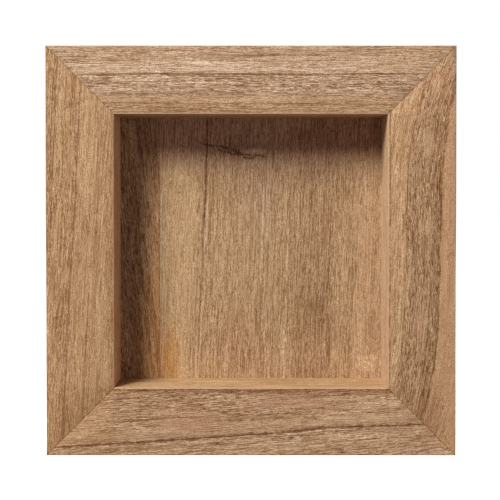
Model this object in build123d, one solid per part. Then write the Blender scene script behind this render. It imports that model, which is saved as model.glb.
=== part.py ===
from build123d import *
import math
import os

# A deep square wooden frame with a display recess, in millimetres.
# +Z is up, the front faces -Y and the wall side faces +Y. The origin is under the frame's middle: on its
# bottom edge, and half way between its front face and the wall. Left and right are as seen from the front.

# ---- driving dimensions ----
INCH = 25.4
OUTER_SIZE = 12 * INCH            # outer height and width
RAIL_WIDTH = 2 * INCH             # face width of each rail
DEPTH = 2 * INCH                  # front face to the rails' rear face
RECESS_DEPTH = 38.0               # front face to the back panel
INNER_EASE = 1.2                  # radius on the front edge of the opening
OUTER_EASE = 0.9                  # radius on the rails' outer edges

RABBET_WIDTH = 9.5                # ledge that the back panel is screwed to
PANEL_CLEARANCE = 0.75            # room left round the panel for the wood to move
PANEL_THICKNESS = 7.5
PANEL_SEAM_X = -70.9              # where the two panel boards meet
SEAM_EASE = 0.4                   # chamfer along both sides of that seam

TENON_THICKNESS = 8.0             # loose tenons, two across each mitre
TENON_WIDTH = 22.0
TENON_LENGTH = 40.0
TENON_DEPTHS = (14.0, 31.0)       # behind the front face
TENON_END_EASE = 1.0
GLUE_GAP = 0.1

BATTEN_LENGTH = 190.0
BATTEN_WIDTH = 30.0
BATTEN_THICKNESS = 5.0
BATTEN_EASE = 1.0
BATTEN_OFFSET = 62.0              # above and below the frame's centre
BATTEN_SCREW_XS = (-84.0, -28.0, 28.0, 84.0)

SCREW_RADIUS = 1.5                # countersunk screws of the panel and battens
SCREW_HEAD_RADIUS = 3.0
SCREW_TIP = 3.0
BATTEN_SCREW_LENGTH = 10.0
PANEL_SCREW_LENGTH = 20.0
PANEL_SCREW_OFFSET = 62.0         # two screws a side, this far from its middle
CROSS_LENGTH = 3.4
CROSS_WIDTH = 0.8
CROSS_DEPTH = 1.1
HOLE_GROWTH = 0.05                # radial room round a screw
HOLE_EXTRA_DEPTH = 0.5

HANGER_AXIS_Z = 232.0             # height of the D-rings' hinge axis
STRAP_WIDTH = 12.5
STRAP_THICKNESS = 1.2
STRAP_HOLES = (21.5, 32.0)        # below the hinge axis
STRAP_HOLE_RADIUS = 2.0
EYE_SLIT = 0.4
RING_WIRE_RADIUS = 1.5
RING_PLAY = 0.05                  # radial room of the wire in the strap's eye
RING_WIDTH = 18.0                 # all along the wire's centre line
RING_HEIGHT = 15.0
RING_CORNER = 2.2
RING_LEAN = 2.0                   # degrees that a hanging ring rests off the vertical
HANGER_SCREW_RADIUS = 1.75
HANGER_SCREW_LENGTH = 16.0
PAN_HEAD_RADIUS = 3.4
PAN_HEAD_HEIGHT = 2.2
PAN_HEAD_EASE = 1.3

BUMPER_RADIUS = 6.35
BUMPER_TOP_RADIUS = 5.2
BUMPER_HEIGHT = 6.4
BUMPER_EASE = 0.7
BUMPER_FROM_EDGE = 34.0           # its centre from the top or bottom edge

# ---- places that follow from them ----
OPENING = OUTER_SIZE - 2 * RAIL_WIDTH
CENTRE_Z = OUTER_SIZE / 2
FRONT_Y = -(DEPTH + BUMPER_HEIGHT) / 2
REAR_Y = FRONT_Y + DEPTH
PANEL_Y = FRONT_Y + RECESS_DEPTH
PANEL_REAR_Y = PANEL_Y + PANEL_THICKNESS
BATTEN_REAR_Y = PANEL_REAR_Y + BATTEN_THICKNESS
PANEL_HALF = OPENING / 2 + RABBET_WIDTH - PANEL_CLEARANCE
LEDGE_MIDDLE = OPENING / 2 + (RABBET_WIDTH - PANEL_CLEARANCE) / 2
REAR_FACE_X = (OPENING / 2 + RABBET_WIDTH + OUTER_SIZE / 2) / 2
EYE_RADIUS = RING_WIRE_RADIUS + RING_PLAY
HINGE_Y = REAR_Y + STRAP_THICKNESS + EYE_RADIUS

BOTTOM, LEFT, TOP, RIGHT = 0, 1, 2, 3    # quarter turns from the bottom rail
HEAD_TO_REAR = Rot(-90, 0, 0)            # turns a screw made along Z so that its head faces the wall


def turned(shape, quarters):
    """The shape carried round the frame's middle by quarter turns, from the bottom to the left and on."""
    about_middle = Pos(0, 0, CENTRE_Z) * Rot(0, 90 * quarters, 0) * Pos(0, 0, -CENTRE_Z)
    return about_middle * shape


def block(low, high):
    """A plain box between two opposite corners."""
    size = [high[i] - low[i] for i in range(3)]
    middle = [(high[i] + low[i]) / 2 for i in range(3)]
    return Pos(*middle) * Box(*size)


def turned_profile(points):
    """A solid of revolution about Z from (radius, height) points."""
    return revolve(Plane.XZ * make_face(Polyline(*points, close=True)), axis=Axis.Z)


# ---- screws ----
def countersunk_shape(length, growth=0.0, extra=0.0):
    """Countersunk body along Z, its head's flat top at Z 0. A growth makes the hole that takes it."""
    shank = SCREW_RADIUS + growth
    head = SCREW_HEAD_RADIUS + growth
    cone = SCREW_HEAD_RADIUS - SCREW_RADIUS
    return turned_profile([
        (0, 0),
        (head, 0),
        (shank, -cone),
        (shank, -(length - SCREW_TIP + extra)),
        (0, -(length + extra)),
    ])


def cross_recess(top):
    """The driver's cross, cut down from a head's top."""
    arm = Pos(0, 0, top - CROSS_DEPTH / 2) * Box(CROSS_LENGTH, CROSS_WIDTH, CROSS_DEPTH)
    return arm + Rot(0, 0, 90) * arm


def countersunk_screw(length):
    return countersunk_shape(length) - cross_recess(0)


def pan_screw():
    """Pan-head screw along Z, its head seated at Z 0."""
    shank_length = HANGER_SCREW_LENGTH
    shank = turned_profile([
        (0, 0),
        (HANGER_SCREW_RADIUS, 0),
        (HANGER_SCREW_RADIUS, -(shank_length - SCREW_TIP)),
        (0, -shank_length),
    ])
    head = Pos(0, 0, PAN_HEAD_HEIGHT / 2) * Cylinder(PAN_HEAD_RADIUS, PAN_HEAD_HEIGHT)
    head = fillet(head.edges().sort_by(Axis.Z)[-1], PAN_HEAD_EASE)
    return shank + head - cross_recess(PAN_HEAD_HEIGHT)


def batten_screw_places():
    """Head centres of the screws that hold the two battens to the panel."""
    return [
        (x, BATTEN_REAR_Y, CENTRE_Z + side * BATTEN_OFFSET)
        for side in (-1, 1)
        for x in BATTEN_SCREW_XS
    ]


def panel_screw_places():
    """Head centres of the screws that hold the panel to the four rails' ledges."""
    places = []
    for along in (-PANEL_SCREW_OFFSET, PANEL_SCREW_OFFSET):
        for across in (-LEDGE_MIDDLE, LEDGE_MIDDLE):
            places.append((along, PANEL_REAR_Y, CENTRE_Z + across))
            places.append((across, PANEL_REAR_Y, CENTRE_Z + along))
    return places


def hanger_screw_places(x):
    """Where the two pan heads of the hanger at x sit on its strap."""
    return [(x, REAR_Y + STRAP_THICKNESS, HANGER_AXIS_Z - drop) for drop in STRAP_HOLES]


def at_places(shape, places):
    """One copy of a screw at each place, its head towards the wall."""
    return [Pos(*place) * HEAD_TO_REAR * shape for place in places]


def batten_screw_holes():
    hole = countersunk_shape(BATTEN_SCREW_LENGTH, HOLE_GROWTH, HOLE_EXTRA_DEPTH)
    return at_places(hole, batten_screw_places())


def panel_screw_holes():
    hole = countersunk_shape(PANEL_SCREW_LENGTH, HOLE_GROWTH, HOLE_EXTRA_DEPTH)
    return at_places(hole, panel_screw_places())


def hanger_screw_holes(x):
    depth = HANGER_SCREW_LENGTH + HOLE_EXTRA_DEPTH
    hole = Pos(0, 0, -depth / 2) * Cylinder(HANGER_SCREW_RADIUS + HOLE_GROWTH, depth)
    return at_places(hole, hanger_screw_places(x))


# ---- corner joints ----
def tenon(grown=0.0):
    """One loose tenon across the bottom left mitre, at the front face. Grown, it is the mortise."""
    section = SlotOverall(TENON_WIDTH + 2 * grown, TENON_THICKNESS + 2 * grown)
    bar = extrude(section, amount=TENON_LENGTH / 2 + grown, both=True)
    if not grown:
        ends = bar.faces().sort_by(Axis.Z)
        bar = chamfer(ends[0].edges() + ends[-1].edges(), TENON_END_EASE)
    middle = OUTER_SIZE / 2 - RAIL_WIDTH / 2
    return Pos(-middle, FRONT_Y, CENTRE_Z - middle) * Rot(0, -45, 0) * bar


def tenons(quarters, grown=0.0):
    """The two tenons of a corner: quarter turns from the bottom left one."""
    return [turned(Pos(0, depth, 0) * tenon(grown), quarters) for depth in TENON_DEPTHS]


# ---- rails ----
def rail_profile():
    """The rail's section: a square bar with a rabbet at its inner rear edge for the panel."""
    ledge = RAIL_WIDTH - RABBET_WIDTH
    outline = Polyline(
        (FRONT_Y, 0),
        (REAR_Y, 0),
        (REAR_Y, ledge),
        (PANEL_Y, ledge),
        (PANEL_Y, RAIL_WIDTH),
        (FRONT_Y, RAIL_WIDTH),
        close=True,
    )
    section = make_face(outline)
    front = section.vertices().group_by(Axis.X)[0].sort_by(Axis.Y)
    rear = section.vertices().group_by(Axis.X)[-1].sort_by(Axis.Y)
    section = fillet([front[0], rear[0], rear[1]], OUTER_EASE)
    inner_front = section.vertices().group_by(Axis.Y)[-1].sort_by(Axis.X)[0]
    return fillet(inner_front, INNER_EASE)


def rail(quarters):
    """One mitred rail, with the mortises at its ends and the holes of the screws that enter it."""
    bar = extrude(Plane.YZ * rail_profile(), amount=OUTER_SIZE / 2, both=True)
    half, inner = OUTER_SIZE / 2, OPENING / 2
    mitred = make_face(Polyline((-half, 0), (half, 0), (inner, RAIL_WIDTH), (-inner, RAIL_WIDTH), close=True))
    bar = bar & extrude(Plane.XZ * mitred, amount=OUTER_SIZE, both=True)
    bar = turned(bar, quarters)
    bar = bar - tenons(quarters, GLUE_GAP) - tenons(quarters - 1, GLUE_GAP)
    bar = bar - panel_screw_holes()
    if quarters in (LEFT, RIGHT):
        bar = bar - hanger_screw_holes(-REAR_FACE_X if quarters == LEFT else REAR_FACE_X)
    return bar


# ---- back panel ----
def panel_board(left, right):
    """One upright board of the back panel, with eased front edges where it meets its neighbour."""
    low = (left, PANEL_Y, CENTRE_Z - PANEL_HALF)
    high = (right, PANEL_REAR_Y, CENTRE_Z + PANEL_HALF)
    board = block(low, high)
    seam = [
        edge
        for edge in board.edges().filter_by(Axis.Z)
        if abs(edge.center().X - PANEL_SEAM_X) < SEAM_EASE and edge.center().Y < PANEL_Y + SEAM_EASE
    ]
    board = chamfer(seam, SEAM_EASE)
    return board - panel_screw_holes() - batten_screw_holes()


def batten(side):
    """A flat strip across the panel's back that keeps the boards flat: side -1 is the lower one."""
    middle_z = CENTRE_Z + side * BATTEN_OFFSET
    low = (-BATTEN_LENGTH / 2, PANEL_REAR_Y, middle_z - BATTEN_WIDTH / 2)
    high = (BATTEN_LENGTH / 2, BATTEN_REAR_Y, middle_z + BATTEN_WIDTH / 2)
    strip = block(low, high)
    strip = chamfer(strip.faces().sort_by(Axis.Y)[-1].edges(), BATTEN_EASE)
    return strip - batten_screw_holes()


# ---- hangers ----
def strap(x):
    """Flat steel strap with its top end rolled into the eye that the D-ring turns in."""
    outer = EYE_RADIUS + STRAP_THICKNESS
    drop = STRAP_HOLES[-1] + STRAP_WIDTH / 2
    plate_outline = Pos(0, -drop / 2) * Rectangle(STRAP_WIDTH, drop)
    plate_outline = fillet(plate_outline.vertices().group_by(Axis.Y)[0], STRAP_WIDTH / 2 - 0.01)
    plate = extrude(Plane.XZ * plate_outline, amount=-STRAP_THICKNESS)
    roll = Pos(0, outer, 0) * Rot(0, 90, 0) * Cylinder(outer, STRAP_WIDTH)
    bore = Pos(0, outer, 0) * Rot(0, 90, 0) * Cylinder(EYE_RADIUS, STRAP_WIDTH + 1)
    slit = Pos(0, outer, 0) * Rot(-35, 0, 0) * Pos(0, 0, -outer) * Box(STRAP_WIDTH + 1, EYE_SLIT, outer)
    body = plate + roll - bore - slit
    for hole in STRAP_HOLES:
        body -= Pos(0, STRAP_THICKNESS / 2, -hole) * Rot(90, 0, 0) * Cylinder(STRAP_HOLE_RADIUS, outer)
    return Pos(x, REAR_Y, HANGER_AXIS_Z) * body


def ring(x):
    """The D-ring: one round wire, its straight leg in the strap's eye, hanging by its own weight."""
    half = RING_WIDTH / 2
    foot = RING_HEIGHT - half
    corner = half - RING_CORNER
    wire = Wire([
        Line((-corner, 0), (corner, 0)),
        RadiusArc((corner, 0), (half, -RING_CORNER), RING_CORNER),
        Line((half, -RING_CORNER), (half, -foot)),
        ThreePointArc((half, -foot), (0, -RING_HEIGHT), (-half, -foot)),
        Line((-half, -foot), (-half, -RING_CORNER)),
        RadiusArc((-half, -RING_CORNER), (-corner, 0), RING_CORNER),
    ])
    section = Plane(origin=(0, 0, 0), z_dir=(1, 0, 0)) * Circle(RING_WIRE_RADIUS)
    round_wire = sweep(section, path=wire)
    upright = Rot(90 + RING_LEAN, 0, 0) * round_wire
    return Pos(x, HINGE_Y, HANGER_AXIS_Z) * upright


# ---- bumpers ----
def bumper(x, z):
    """A soft tapered disc that keeps the frame off the wall."""
    cone = Cone(BUMPER_RADIUS, BUMPER_TOP_RADIUS, BUMPER_HEIGHT)
    cone = fillet(cone.edges().sort_by(Axis.Z)[-1], BUMPER_EASE)
    return Pos(x, REAR_Y + BUMPER_HEIGHT / 2, z) * HEAD_TO_REAR * cone


def all_nodes():
    """Every node's name and its solid or solids."""
    nodes = {
        "bottom_rail": rail(BOTTOM),
        "left_rail": rail(LEFT),
        "top_rail": rail(TOP),
        "right_rail": rail(RIGHT),
        "panel_board_left": panel_board(-PANEL_HALF, PANEL_SEAM_X),
        "panel_board_right": panel_board(PANEL_SEAM_X, PANEL_HALF),
        "lower_batten": batten(-1),
        "upper_batten": batten(1),
        "batten_screws": at_places(countersunk_screw(BATTEN_SCREW_LENGTH), batten_screw_places()),
        "panel_screws": at_places(countersunk_screw(PANEL_SCREW_LENGTH), panel_screw_places()),
    }
    for quarters, corner in enumerate(("bottom_left", "top_left", "top_right", "bottom_right")):
        nodes["corner_tenons_" + corner] = tenons(quarters)
    for side, x in (("left", -REAR_FACE_X), ("right", REAR_FACE_X)):
        nodes["hanger_strap_" + side] = strap(x)
        nodes["hanger_ring_" + side] = ring(x)
        nodes["hanger_screws_" + side] = at_places(pan_screw(), hanger_screw_places(x))
        nodes["wall_bumper_bottom_" + side] = bumper(x, BUMPER_FROM_EDGE)
        nodes["wall_bumper_top_" + side] = bumper(x, OUTER_SIZE - BUMPER_FROM_EDGE)
    return nodes


def main():
    os.makedirs("parts", exist_ok=True)
    for name, shape in all_nodes().items():
        whole = Compound(children=shape) if isinstance(shape, list) else shape
        export_step(whole, os.path.join("parts", name + ".step"))
        print(name, "volume", round(whole.volume, 1))
    centre_line = 2 * (RING_WIDTH / 2 - RING_CORNER) + math.pi * RING_CORNER
    centre_line += 2 * (RING_HEIGHT - RING_WIDTH / 2 - RING_CORNER) + math.pi * RING_WIDTH / 2
    print("ring wire volume should be", round(centre_line * math.pi * RING_WIRE_RADIUS ** 2, 1))


main()
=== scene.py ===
# %% [markdown]
# # A deep wooden display frame
#
# The object is a square frame of four thick mitred rails round an open recess, with an upright-grained
# wooden panel at the recess's back. Nearly all that the eye meets is timber, so most of this lesson is about
# timber: first how its edges are eased and worn as real geometry, then how its growth rings, pores and
# fibres are described once, in solid coordinates, and laid into each piece at its own angle.
#
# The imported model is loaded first. It is the fixed frame that every new piece is fitted to, and nothing
# here changes it.

# %% Load the fixed frame
import math

import bmesh
import bpy
from mathutils import Matrix, Vector, noise


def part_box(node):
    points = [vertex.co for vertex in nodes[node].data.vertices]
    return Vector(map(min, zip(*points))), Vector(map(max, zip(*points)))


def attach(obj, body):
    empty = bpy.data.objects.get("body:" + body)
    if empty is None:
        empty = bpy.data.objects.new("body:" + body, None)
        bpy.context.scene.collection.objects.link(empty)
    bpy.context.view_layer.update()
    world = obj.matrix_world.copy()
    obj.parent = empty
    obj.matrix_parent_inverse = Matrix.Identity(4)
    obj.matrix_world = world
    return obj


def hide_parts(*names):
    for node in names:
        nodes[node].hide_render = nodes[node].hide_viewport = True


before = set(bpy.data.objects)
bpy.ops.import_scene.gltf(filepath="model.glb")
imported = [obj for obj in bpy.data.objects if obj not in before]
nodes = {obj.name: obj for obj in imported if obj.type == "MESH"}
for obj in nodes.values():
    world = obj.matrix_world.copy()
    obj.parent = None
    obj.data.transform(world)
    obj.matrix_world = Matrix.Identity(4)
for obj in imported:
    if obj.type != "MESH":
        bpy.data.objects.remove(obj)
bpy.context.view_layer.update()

MM = 0.001

# %% [markdown]
# Every size comes from the loaded nodes. The bottom rail gives the outer width, the rail's width and its
# front and rear planes, and the panel boards give the plane of the recess's back.

# %% Read the sizes from the nodes
rail_low, rail_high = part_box("bottom_rail")
narrow_low, narrow_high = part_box("panel_board_left")
wide_low, wide_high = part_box("panel_board_right")

HALF = rail_high.x
RAIL_WIDTH = rail_high.z - rail_low.z
FRONT_Y = rail_low.y
REAR_Y = rail_high.y
CENTRE_Z = HALF
INNER_HALF = HALF - RAIL_WIDTH
PANEL_Y = narrow_low.y
PANEL_HALF = wide_high.x
PANEL_CLEARANCE = 0.75 * MM
RABBET_HALF = PANEL_HALF + PANEL_CLEARANCE
print("outer %.1f mm, rail %.1f mm" % (2 * HALF / MM, RAIL_WIDTH / MM))
print("recess %.1f mm deep" % ((PANEL_Y - FRONT_Y) / MM))

# %% [markdown]
# ## Camera
#
# The view is square to the face, from a little above its middle. A camera that tilted down to look at the
# middle would make the sides converge, so this one tilts by less than a degree and slides its view for the
# rest, which is what a view camera's falling front does. The lens follows from the distance and from the
# width that the view has to hold.

# %% Camera
CAMERA_DISTANCE = 757 * MM
CAMERA_RISE = 47 * MM
CAMERA_TILT = math.radians(0.75)
FIELD_WIDTH = 370.9 * MM
SLIDE_ACROSS = -0.002
SLIDE_UP = 0.0024
SENSOR = 36.0

camera_data = bpy.data.cameras.new("camera")
camera_data.sensor_width = SENSOR
camera_data.lens = SENSOR * CAMERA_DISTANCE / FIELD_WIDTH
camera_data.shift_x = SLIDE_ACROSS
camera_data.shift_y = SLIDE_UP - (CAMERA_RISE - CAMERA_DISTANCE * math.tan(CAMERA_TILT)) / FIELD_WIDTH
camera_data.clip_start = 0.01
camera = bpy.data.objects.new("camera", camera_data)
camera.location = (0, FRONT_Y - CAMERA_DISTANCE, CENTRE_Z + CAMERA_RISE)
camera.rotation_euler = (math.radians(90) - CAMERA_TILT, 0, 0)
bpy.context.scene.collection.objects.link(camera)
bpy.context.scene.camera = camera
bpy.context.scene.view_settings.view_transform = "Standard"
print("lens %.1f mm" % camera_data.lens)

# %% [markdown]
# ## Light
#
# One soft key light stands high on the left in front of the frame. Its size sets how soft the shadow inside
# the recess is, and its distance sets how much brighter the upper left is than the lower right. A weak card
# on the right lifts the shaded walls of the recess, and a light behind the frame shows its back when the view
# goes round. Each light is aimed at the middle of the frame's front, so only its place has to be given.

# %% Lights
KEY_OFFSET = Vector((-1.54, -1.80, 2.0))
KEY_SIZE = 1.48
KEY_POWER = 138.5
KEY_TINT = (1.0, 1.012, 0.957)
CARD_OFFSET = Vector((1.5, -0.55, 0.0))
CARD_SIZE = 0.9
CARD_POWER = 8.0
CARD_TINT = (1.0, 0.97, 0.94)
REAR_OFFSET = Vector((1.2, 1.6, 1.2))
REAR_SIZE = 1.2
REAR_POWER = 55.0
REAR_TINT = (1.0, 0.99, 0.97)


def soft_light(name, offset, size, power, tint):
    """A round softbox, `offset` away from the middle of the frame's front and aimed at it."""
    data = bpy.data.lights.new(name, "AREA")
    data.shape = "DISK"
    data.size = size
    data.energy = power
    data.color = tint
    light = bpy.data.objects.new(name, data)
    light.location = Vector((0, FRONT_Y, CENTRE_Z)) + offset
    light.rotation_euler = offset.to_track_quat("Z", "Y").to_euler()
    bpy.context.scene.collection.objects.link(light)
    return light


key = soft_light("key_light", KEY_OFFSET, KEY_SIZE, KEY_POWER, KEY_TINT)
soft_light("side_card", CARD_OFFSET, CARD_SIZE, CARD_POWER, CARD_TINT)
soft_light("rear_light", REAR_OFFSET, REAR_SIZE, REAR_POWER, REAR_TINT)
print("key light at", [round(c, 2) for c in key.location])

# %% [markdown]
# The surround has two faces. Seen directly it is plain white, so the object stands free. To the rays that
# light the scene it is much weaker and a little pink, as light is that has bounced about a warm room. A Light
# Path node tells the two kinds of ray apart.

# %% Surround
SURROUND_WHITE = (1, 1, 1, 1)
SURROUND_TINT = (1.0, 0.72, 0.86, 1)
SURROUND_STRENGTH = 0.052

world = bpy.data.worlds.new("surround")
bpy.context.scene.world = world
world.use_nodes = True
world_nodes = world.node_tree.nodes
world_links = world.node_tree.links
world_nodes.clear()
world_out = world_nodes.new("ShaderNodeOutputWorld")
seen = world_nodes.new("ShaderNodeBackground")
seen.inputs["Color"].default_value = SURROUND_WHITE
seen.inputs["Strength"].default_value = 1.0
fill = world_nodes.new("ShaderNodeBackground")
fill.inputs["Color"].default_value = SURROUND_TINT
fill.inputs["Strength"].default_value = SURROUND_STRENGTH
light_path = world_nodes.new("ShaderNodeLightPath")
choose = world_nodes.new("ShaderNodeMixShader")
world_links.new(light_path.outputs["Is Camera Ray"], choose.inputs[0])
world_links.new(fill.outputs[0], choose.inputs[1])
world_links.new(seen.outputs[0], choose.inputs[2])
world_links.new(choose.outputs[0], world_out.inputs[0])
print("surround:", world.name)

# %% [markdown]
# ## Small helpers for materials
#
# A node tree written out link by link hides what it does. `Tree` wraps one tree and gives each node as a
# call that returns its output, so a pattern reads like a formula. The same wrapper builds materials and the
# shared groups.

# %% Node helpers
class Tree:
    """A node tree whose nodes are made by calls that take and return sockets."""

    def __init__(self, tree):
        self.tree = tree

    def node(self, kind, inputs=(), **settings):
        """A node with its settings. An input that is a socket is linked, and any other is a value."""
        made = self.tree.nodes.new("ShaderNode" + kind)
        for name, value in settings.items():
            setattr(made, name, value)
        for name, value in dict(inputs).items():
            socket = made.inputs[name]
            if isinstance(value, bpy.types.NodeSocket):
                self.tree.links.new(value, socket)
            else:
                socket.default_value = value
        return made

    def math(self, operation, *values, clamp=False):
        """One sum on numbers."""
        return self.node("Math", dict(enumerate(values)), operation=operation, use_clamp=clamp).outputs[0]

    def noise(self, vector, scale=1.0, detail=2.0, roughness=0.5, **settings):
        """A noise node: its first output is a number and its Color three independent ones."""
        inputs = {"Vector": vector, "Scale": scale, "Detail": detail, "Roughness": roughness}
        return self.node("TexNoise", inputs, **settings)

    def stretch(self, vector, along, across, shift=(0, 0, 0)):
        """A pattern space in which one unit is `along` mm down the grain and `across` mm over it."""
        scale = (1 / along, 1 / across, 1 / across)
        return self.node("Mapping", {"Vector": vector, "Scale": scale, "Location": shift}).outputs[0]

    def ramp(self, value, low, high, to_low=0.0, to_high=1.0):
        """A smooth step from to_low at low to to_high at high."""
        inputs = {"Value": value, "From Min": low, "From Max": high, "To Min": to_low, "To Max": to_high}
        return self.node("MapRange", inputs, interpolation_type="SMOOTHSTEP").outputs[0]

    def mix(self, factor, first, second, blend="MIX"):
        """A colour between first and second."""
        made = self.node("Mix", data_type="RGBA", blend_type=blend, clamp_factor=True)
        for socket, value in zip((made.inputs[0], made.inputs[6], made.inputs[7]), (factor, first, second)):
            if isinstance(value, bpy.types.NodeSocket):
                self.tree.links.new(value, socket)
            else:
                socket.default_value = value
        return made.outputs[2]

    def tint(self, mask, colour, tone):
        """The colour with a tone multiplied into it where the mask is."""
        return self.mix(mask, colour, tone, "MULTIPLY")

    def blend(self, factor, first, second):
        """A number between first and second."""
        inputs = {0: factor, 2: first, 3: second}
        return self.node("Mix", inputs, data_type="FLOAT", clamp_factor=True).outputs[0]

    def parts(self, vector):
        """The three numbers of a vector."""
        split = self.node("SeparateXYZ", {0: vector})
        return split.outputs[0], split.outputs[1], split.outputs[2]

    def group(self, name, **inputs):
        """A shared group's outputs. A space in an input's name is written as an underscore."""
        made = self.tree.nodes.new("ShaderNodeGroup")
        made.node_tree = bpy.data.node_groups[name]
        for key_name, value in inputs.items():
            socket = made.inputs[key_name.replace("_", " ")]
            if isinstance(value, bpy.types.NodeSocket):
                self.tree.links.new(value, socket)
            else:
                socket.default_value = value
        return made.outputs


def new_group(name, inputs, outputs):
    """An empty group: each input is "Name": default, a tuple for a vector, and each output "Name": kind."""
    made = bpy.data.node_groups.new(name, "ShaderNodeTree")
    for socket_name, default in inputs.items():
        kind = "NodeSocketVector" if isinstance(default, tuple) else "NodeSocketFloat"
        socket = made.interface.new_socket(name=socket_name, in_out="INPUT", socket_type=kind)
        socket.default_value = default
    for socket_name, kind in outputs.items():
        made.interface.new_socket(name=socket_name, in_out="OUTPUT", socket_type="NodeSocket" + kind)
    tree = Tree(made)
    source = made.nodes.new("NodeGroupInput").outputs
    sink = made.nodes.new("NodeGroupOutput").inputs
    return tree, source, sink


def srgb(red, green, blue):
    """A colour given as it looks on a screen, 0 to 255, in the linear values that shaders use."""
    linear = [((c / 255 + 0.055) / 1.055) ** 2.4 for c in (red, green, blue)]
    return (*linear, 1.0)


print("helpers ready: a node tree, a group and a colour")

# %% [markdown]
# ## Timber as a solid
#
# A board is cut from a log, so its figure is a slice through nearly round growth rings. The first shared
# group rebuilds that: it measures how far a point is from the log's middle and turns the distance into ring
# after ring. The log's place behind the face decides the figure. Far to one side gives straight even lines,
# close behind gives wide flat-sawn bands, and a slope makes the lines run off an edge. Slow noise makes the
# rings wander and differ in width, and every ring gets a tone of its own.
#
# In pattern space, X runs down the grain, Y goes into the wood from the front face and Z across the face,
# all in millimetres from the middle of the frame's front. On a level piece X is to the right and Z up, and on
# an upright one X is up and Z to the left.

# %% Shared group: growth rings
tree, source, sink = new_group(
    "growth_rings",
    {
        "Vector": (0.0, 0.0, 0.0),
        "Pith Depth": 60.0,
        "Pith Across": 0.0,
        "Slope": 0.0,
        "Twist": 0.0,
        "Spacing": 4.0,
        "Wander": 3.0,
    },
    {"Grain": "Vector", "Phase": "Float", "Tone": "Float"},
)
vector = source["Vector"]
along, depth, across = tree.parts(vector)
slow = tree.noise(tree.stretch(vector, 150, 42), detail=2.0, roughness=0.45).outputs["Color"]
quick = tree.noise(tree.stretch(vector, 26, 8, (3.1, 7.7, 1.9)), detail=3.0, roughness=0.55).outputs["Color"]
slow_across, slow_deep, _ = tree.parts(slow)
quick_across, quick_deep, _ = tree.parts(quick)


def wander(slow_value, quick_value):
    """How far the rings are pushed aside, in millimetres: a wide bend and a small one."""
    big = tree.math("MULTIPLY", tree.math("SUBTRACT", slow_value, 0.5), 4.0)
    small = tree.math("MULTIPLY", tree.math("SUBTRACT", quick_value, 0.5), 0.55)
    return tree.math("MULTIPLY", tree.math("ADD", big, small), source["Wander"])


run_out = tree.math("MULTIPLY", along, source["Slope"])
cubed = tree.math("MULTIPLY", tree.math("MULTIPLY", along, along), along)
turned = tree.math("MULTIPLY", cubed, source["Twist"])
bent = tree.math("ADD", tree.math("ADD", run_out, turned), wander(slow_across, quick_across))
across_true = tree.math("ADD", across, bent)
depth_true = tree.math("ADD", depth, wander(slow_deep, quick_deep))
from_pith_across = tree.math("SUBTRACT", across_true, source["Pith Across"])
from_pith_depth = tree.math("SUBTRACT", depth_true, source["Pith Depth"])
squares = tree.math(
    "ADD",
    tree.math("MULTIPLY", from_pith_across, from_pith_across),
    tree.math("MULTIPLY", from_pith_depth, from_pith_depth),
)
radius = tree.math("SQRT", squares)
rings = tree.math("DIVIDE", radius, source["Spacing"])
years = tree.math("MULTIPLY", rings, 0.37)
growth = tree.node("TexNoise", {"W": years, "Detail": 2.0}, noise_dimensions="1D").outputs[0]
rings = tree.math("ADD", rings, tree.math("MULTIPLY", growth, 2.2))
number = tree.math("FLOOR", rings)
ring_tone = tree.node("TexWhiteNoise", {"W": number}, noise_dimensions="1D").outputs["Value"]
grain = tree.node("CombineXYZ", {0: along, 1: depth_true, 2: across_true}).outputs[0]
for name, value in (("Grain", grain), ("Phase", tree.math("FRACT", rings)), ("Tone", ring_tone)):
    tree.tree.links.new(value, sink[name])
print("growth_rings:", len(tree.tree.nodes), "nodes")

# %% [markdown]
# Pores are the cut-open vessels of the wood. On a long face they show as short dark dashes, all in line
# with the grain. Stretched noise makes them: a threshold keeps only its peaks, so they come out as separate
# dashes, and a second noise gathers them into denser and thinner patches. The same group with another size
# and a pale tone gives the cream flecks between them.

# %% Shared group: dashes along the grain
tree, source, sink = new_group(
    "dashes",
    {"Grain": (0.0, 0.0, 0.0), "Length": 7.0, "Width": 0.55, "Amount": 0.5, "Gather": 0.22},
    {"Mask": "Float"},
)
size = tree.node(
    "CombineXYZ",
    {
        0: tree.math("DIVIDE", 1.0, source["Length"]),
        1: tree.math("DIVIDE", 1.0, source["Width"]),
        2: tree.math("DIVIDE", 1.0, source["Width"]),
    },
).outputs[0]
scaled = tree.node("VectorMath", {0: source["Grain"], 1: size}, operation="MULTIPLY").outputs[0]
dashes = tree.noise(scaled, detail=1.0, roughness=0.4).outputs[0]
gather = tree.noise(tree.stretch(source["Grain"], 34, 5), detail=2.0).outputs[0]
level = tree.math("ADD", dashes, tree.math("MULTIPLY", tree.math("SUBTRACT", gather, 0.5), source["Gather"]))
start = tree.math("SUBTRACT", 0.78, tree.math("MULTIPLY", source["Amount"], 0.34))
mask = tree.ramp(level, start, tree.math("ADD", start, 0.09))
tree.tree.links.new(mask, sink["Mask"])
print("dashes:", len(tree.tree.nodes), "nodes")

# %% [markdown]
# Some lines in a piece of wood stand out from the rest: an old ring boundary, a resin line, a seam. The
# next group draws one such line. It follows the same bent grain as the rings, so it never looks ruled on,
# and it fades and thickens along its length.

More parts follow.
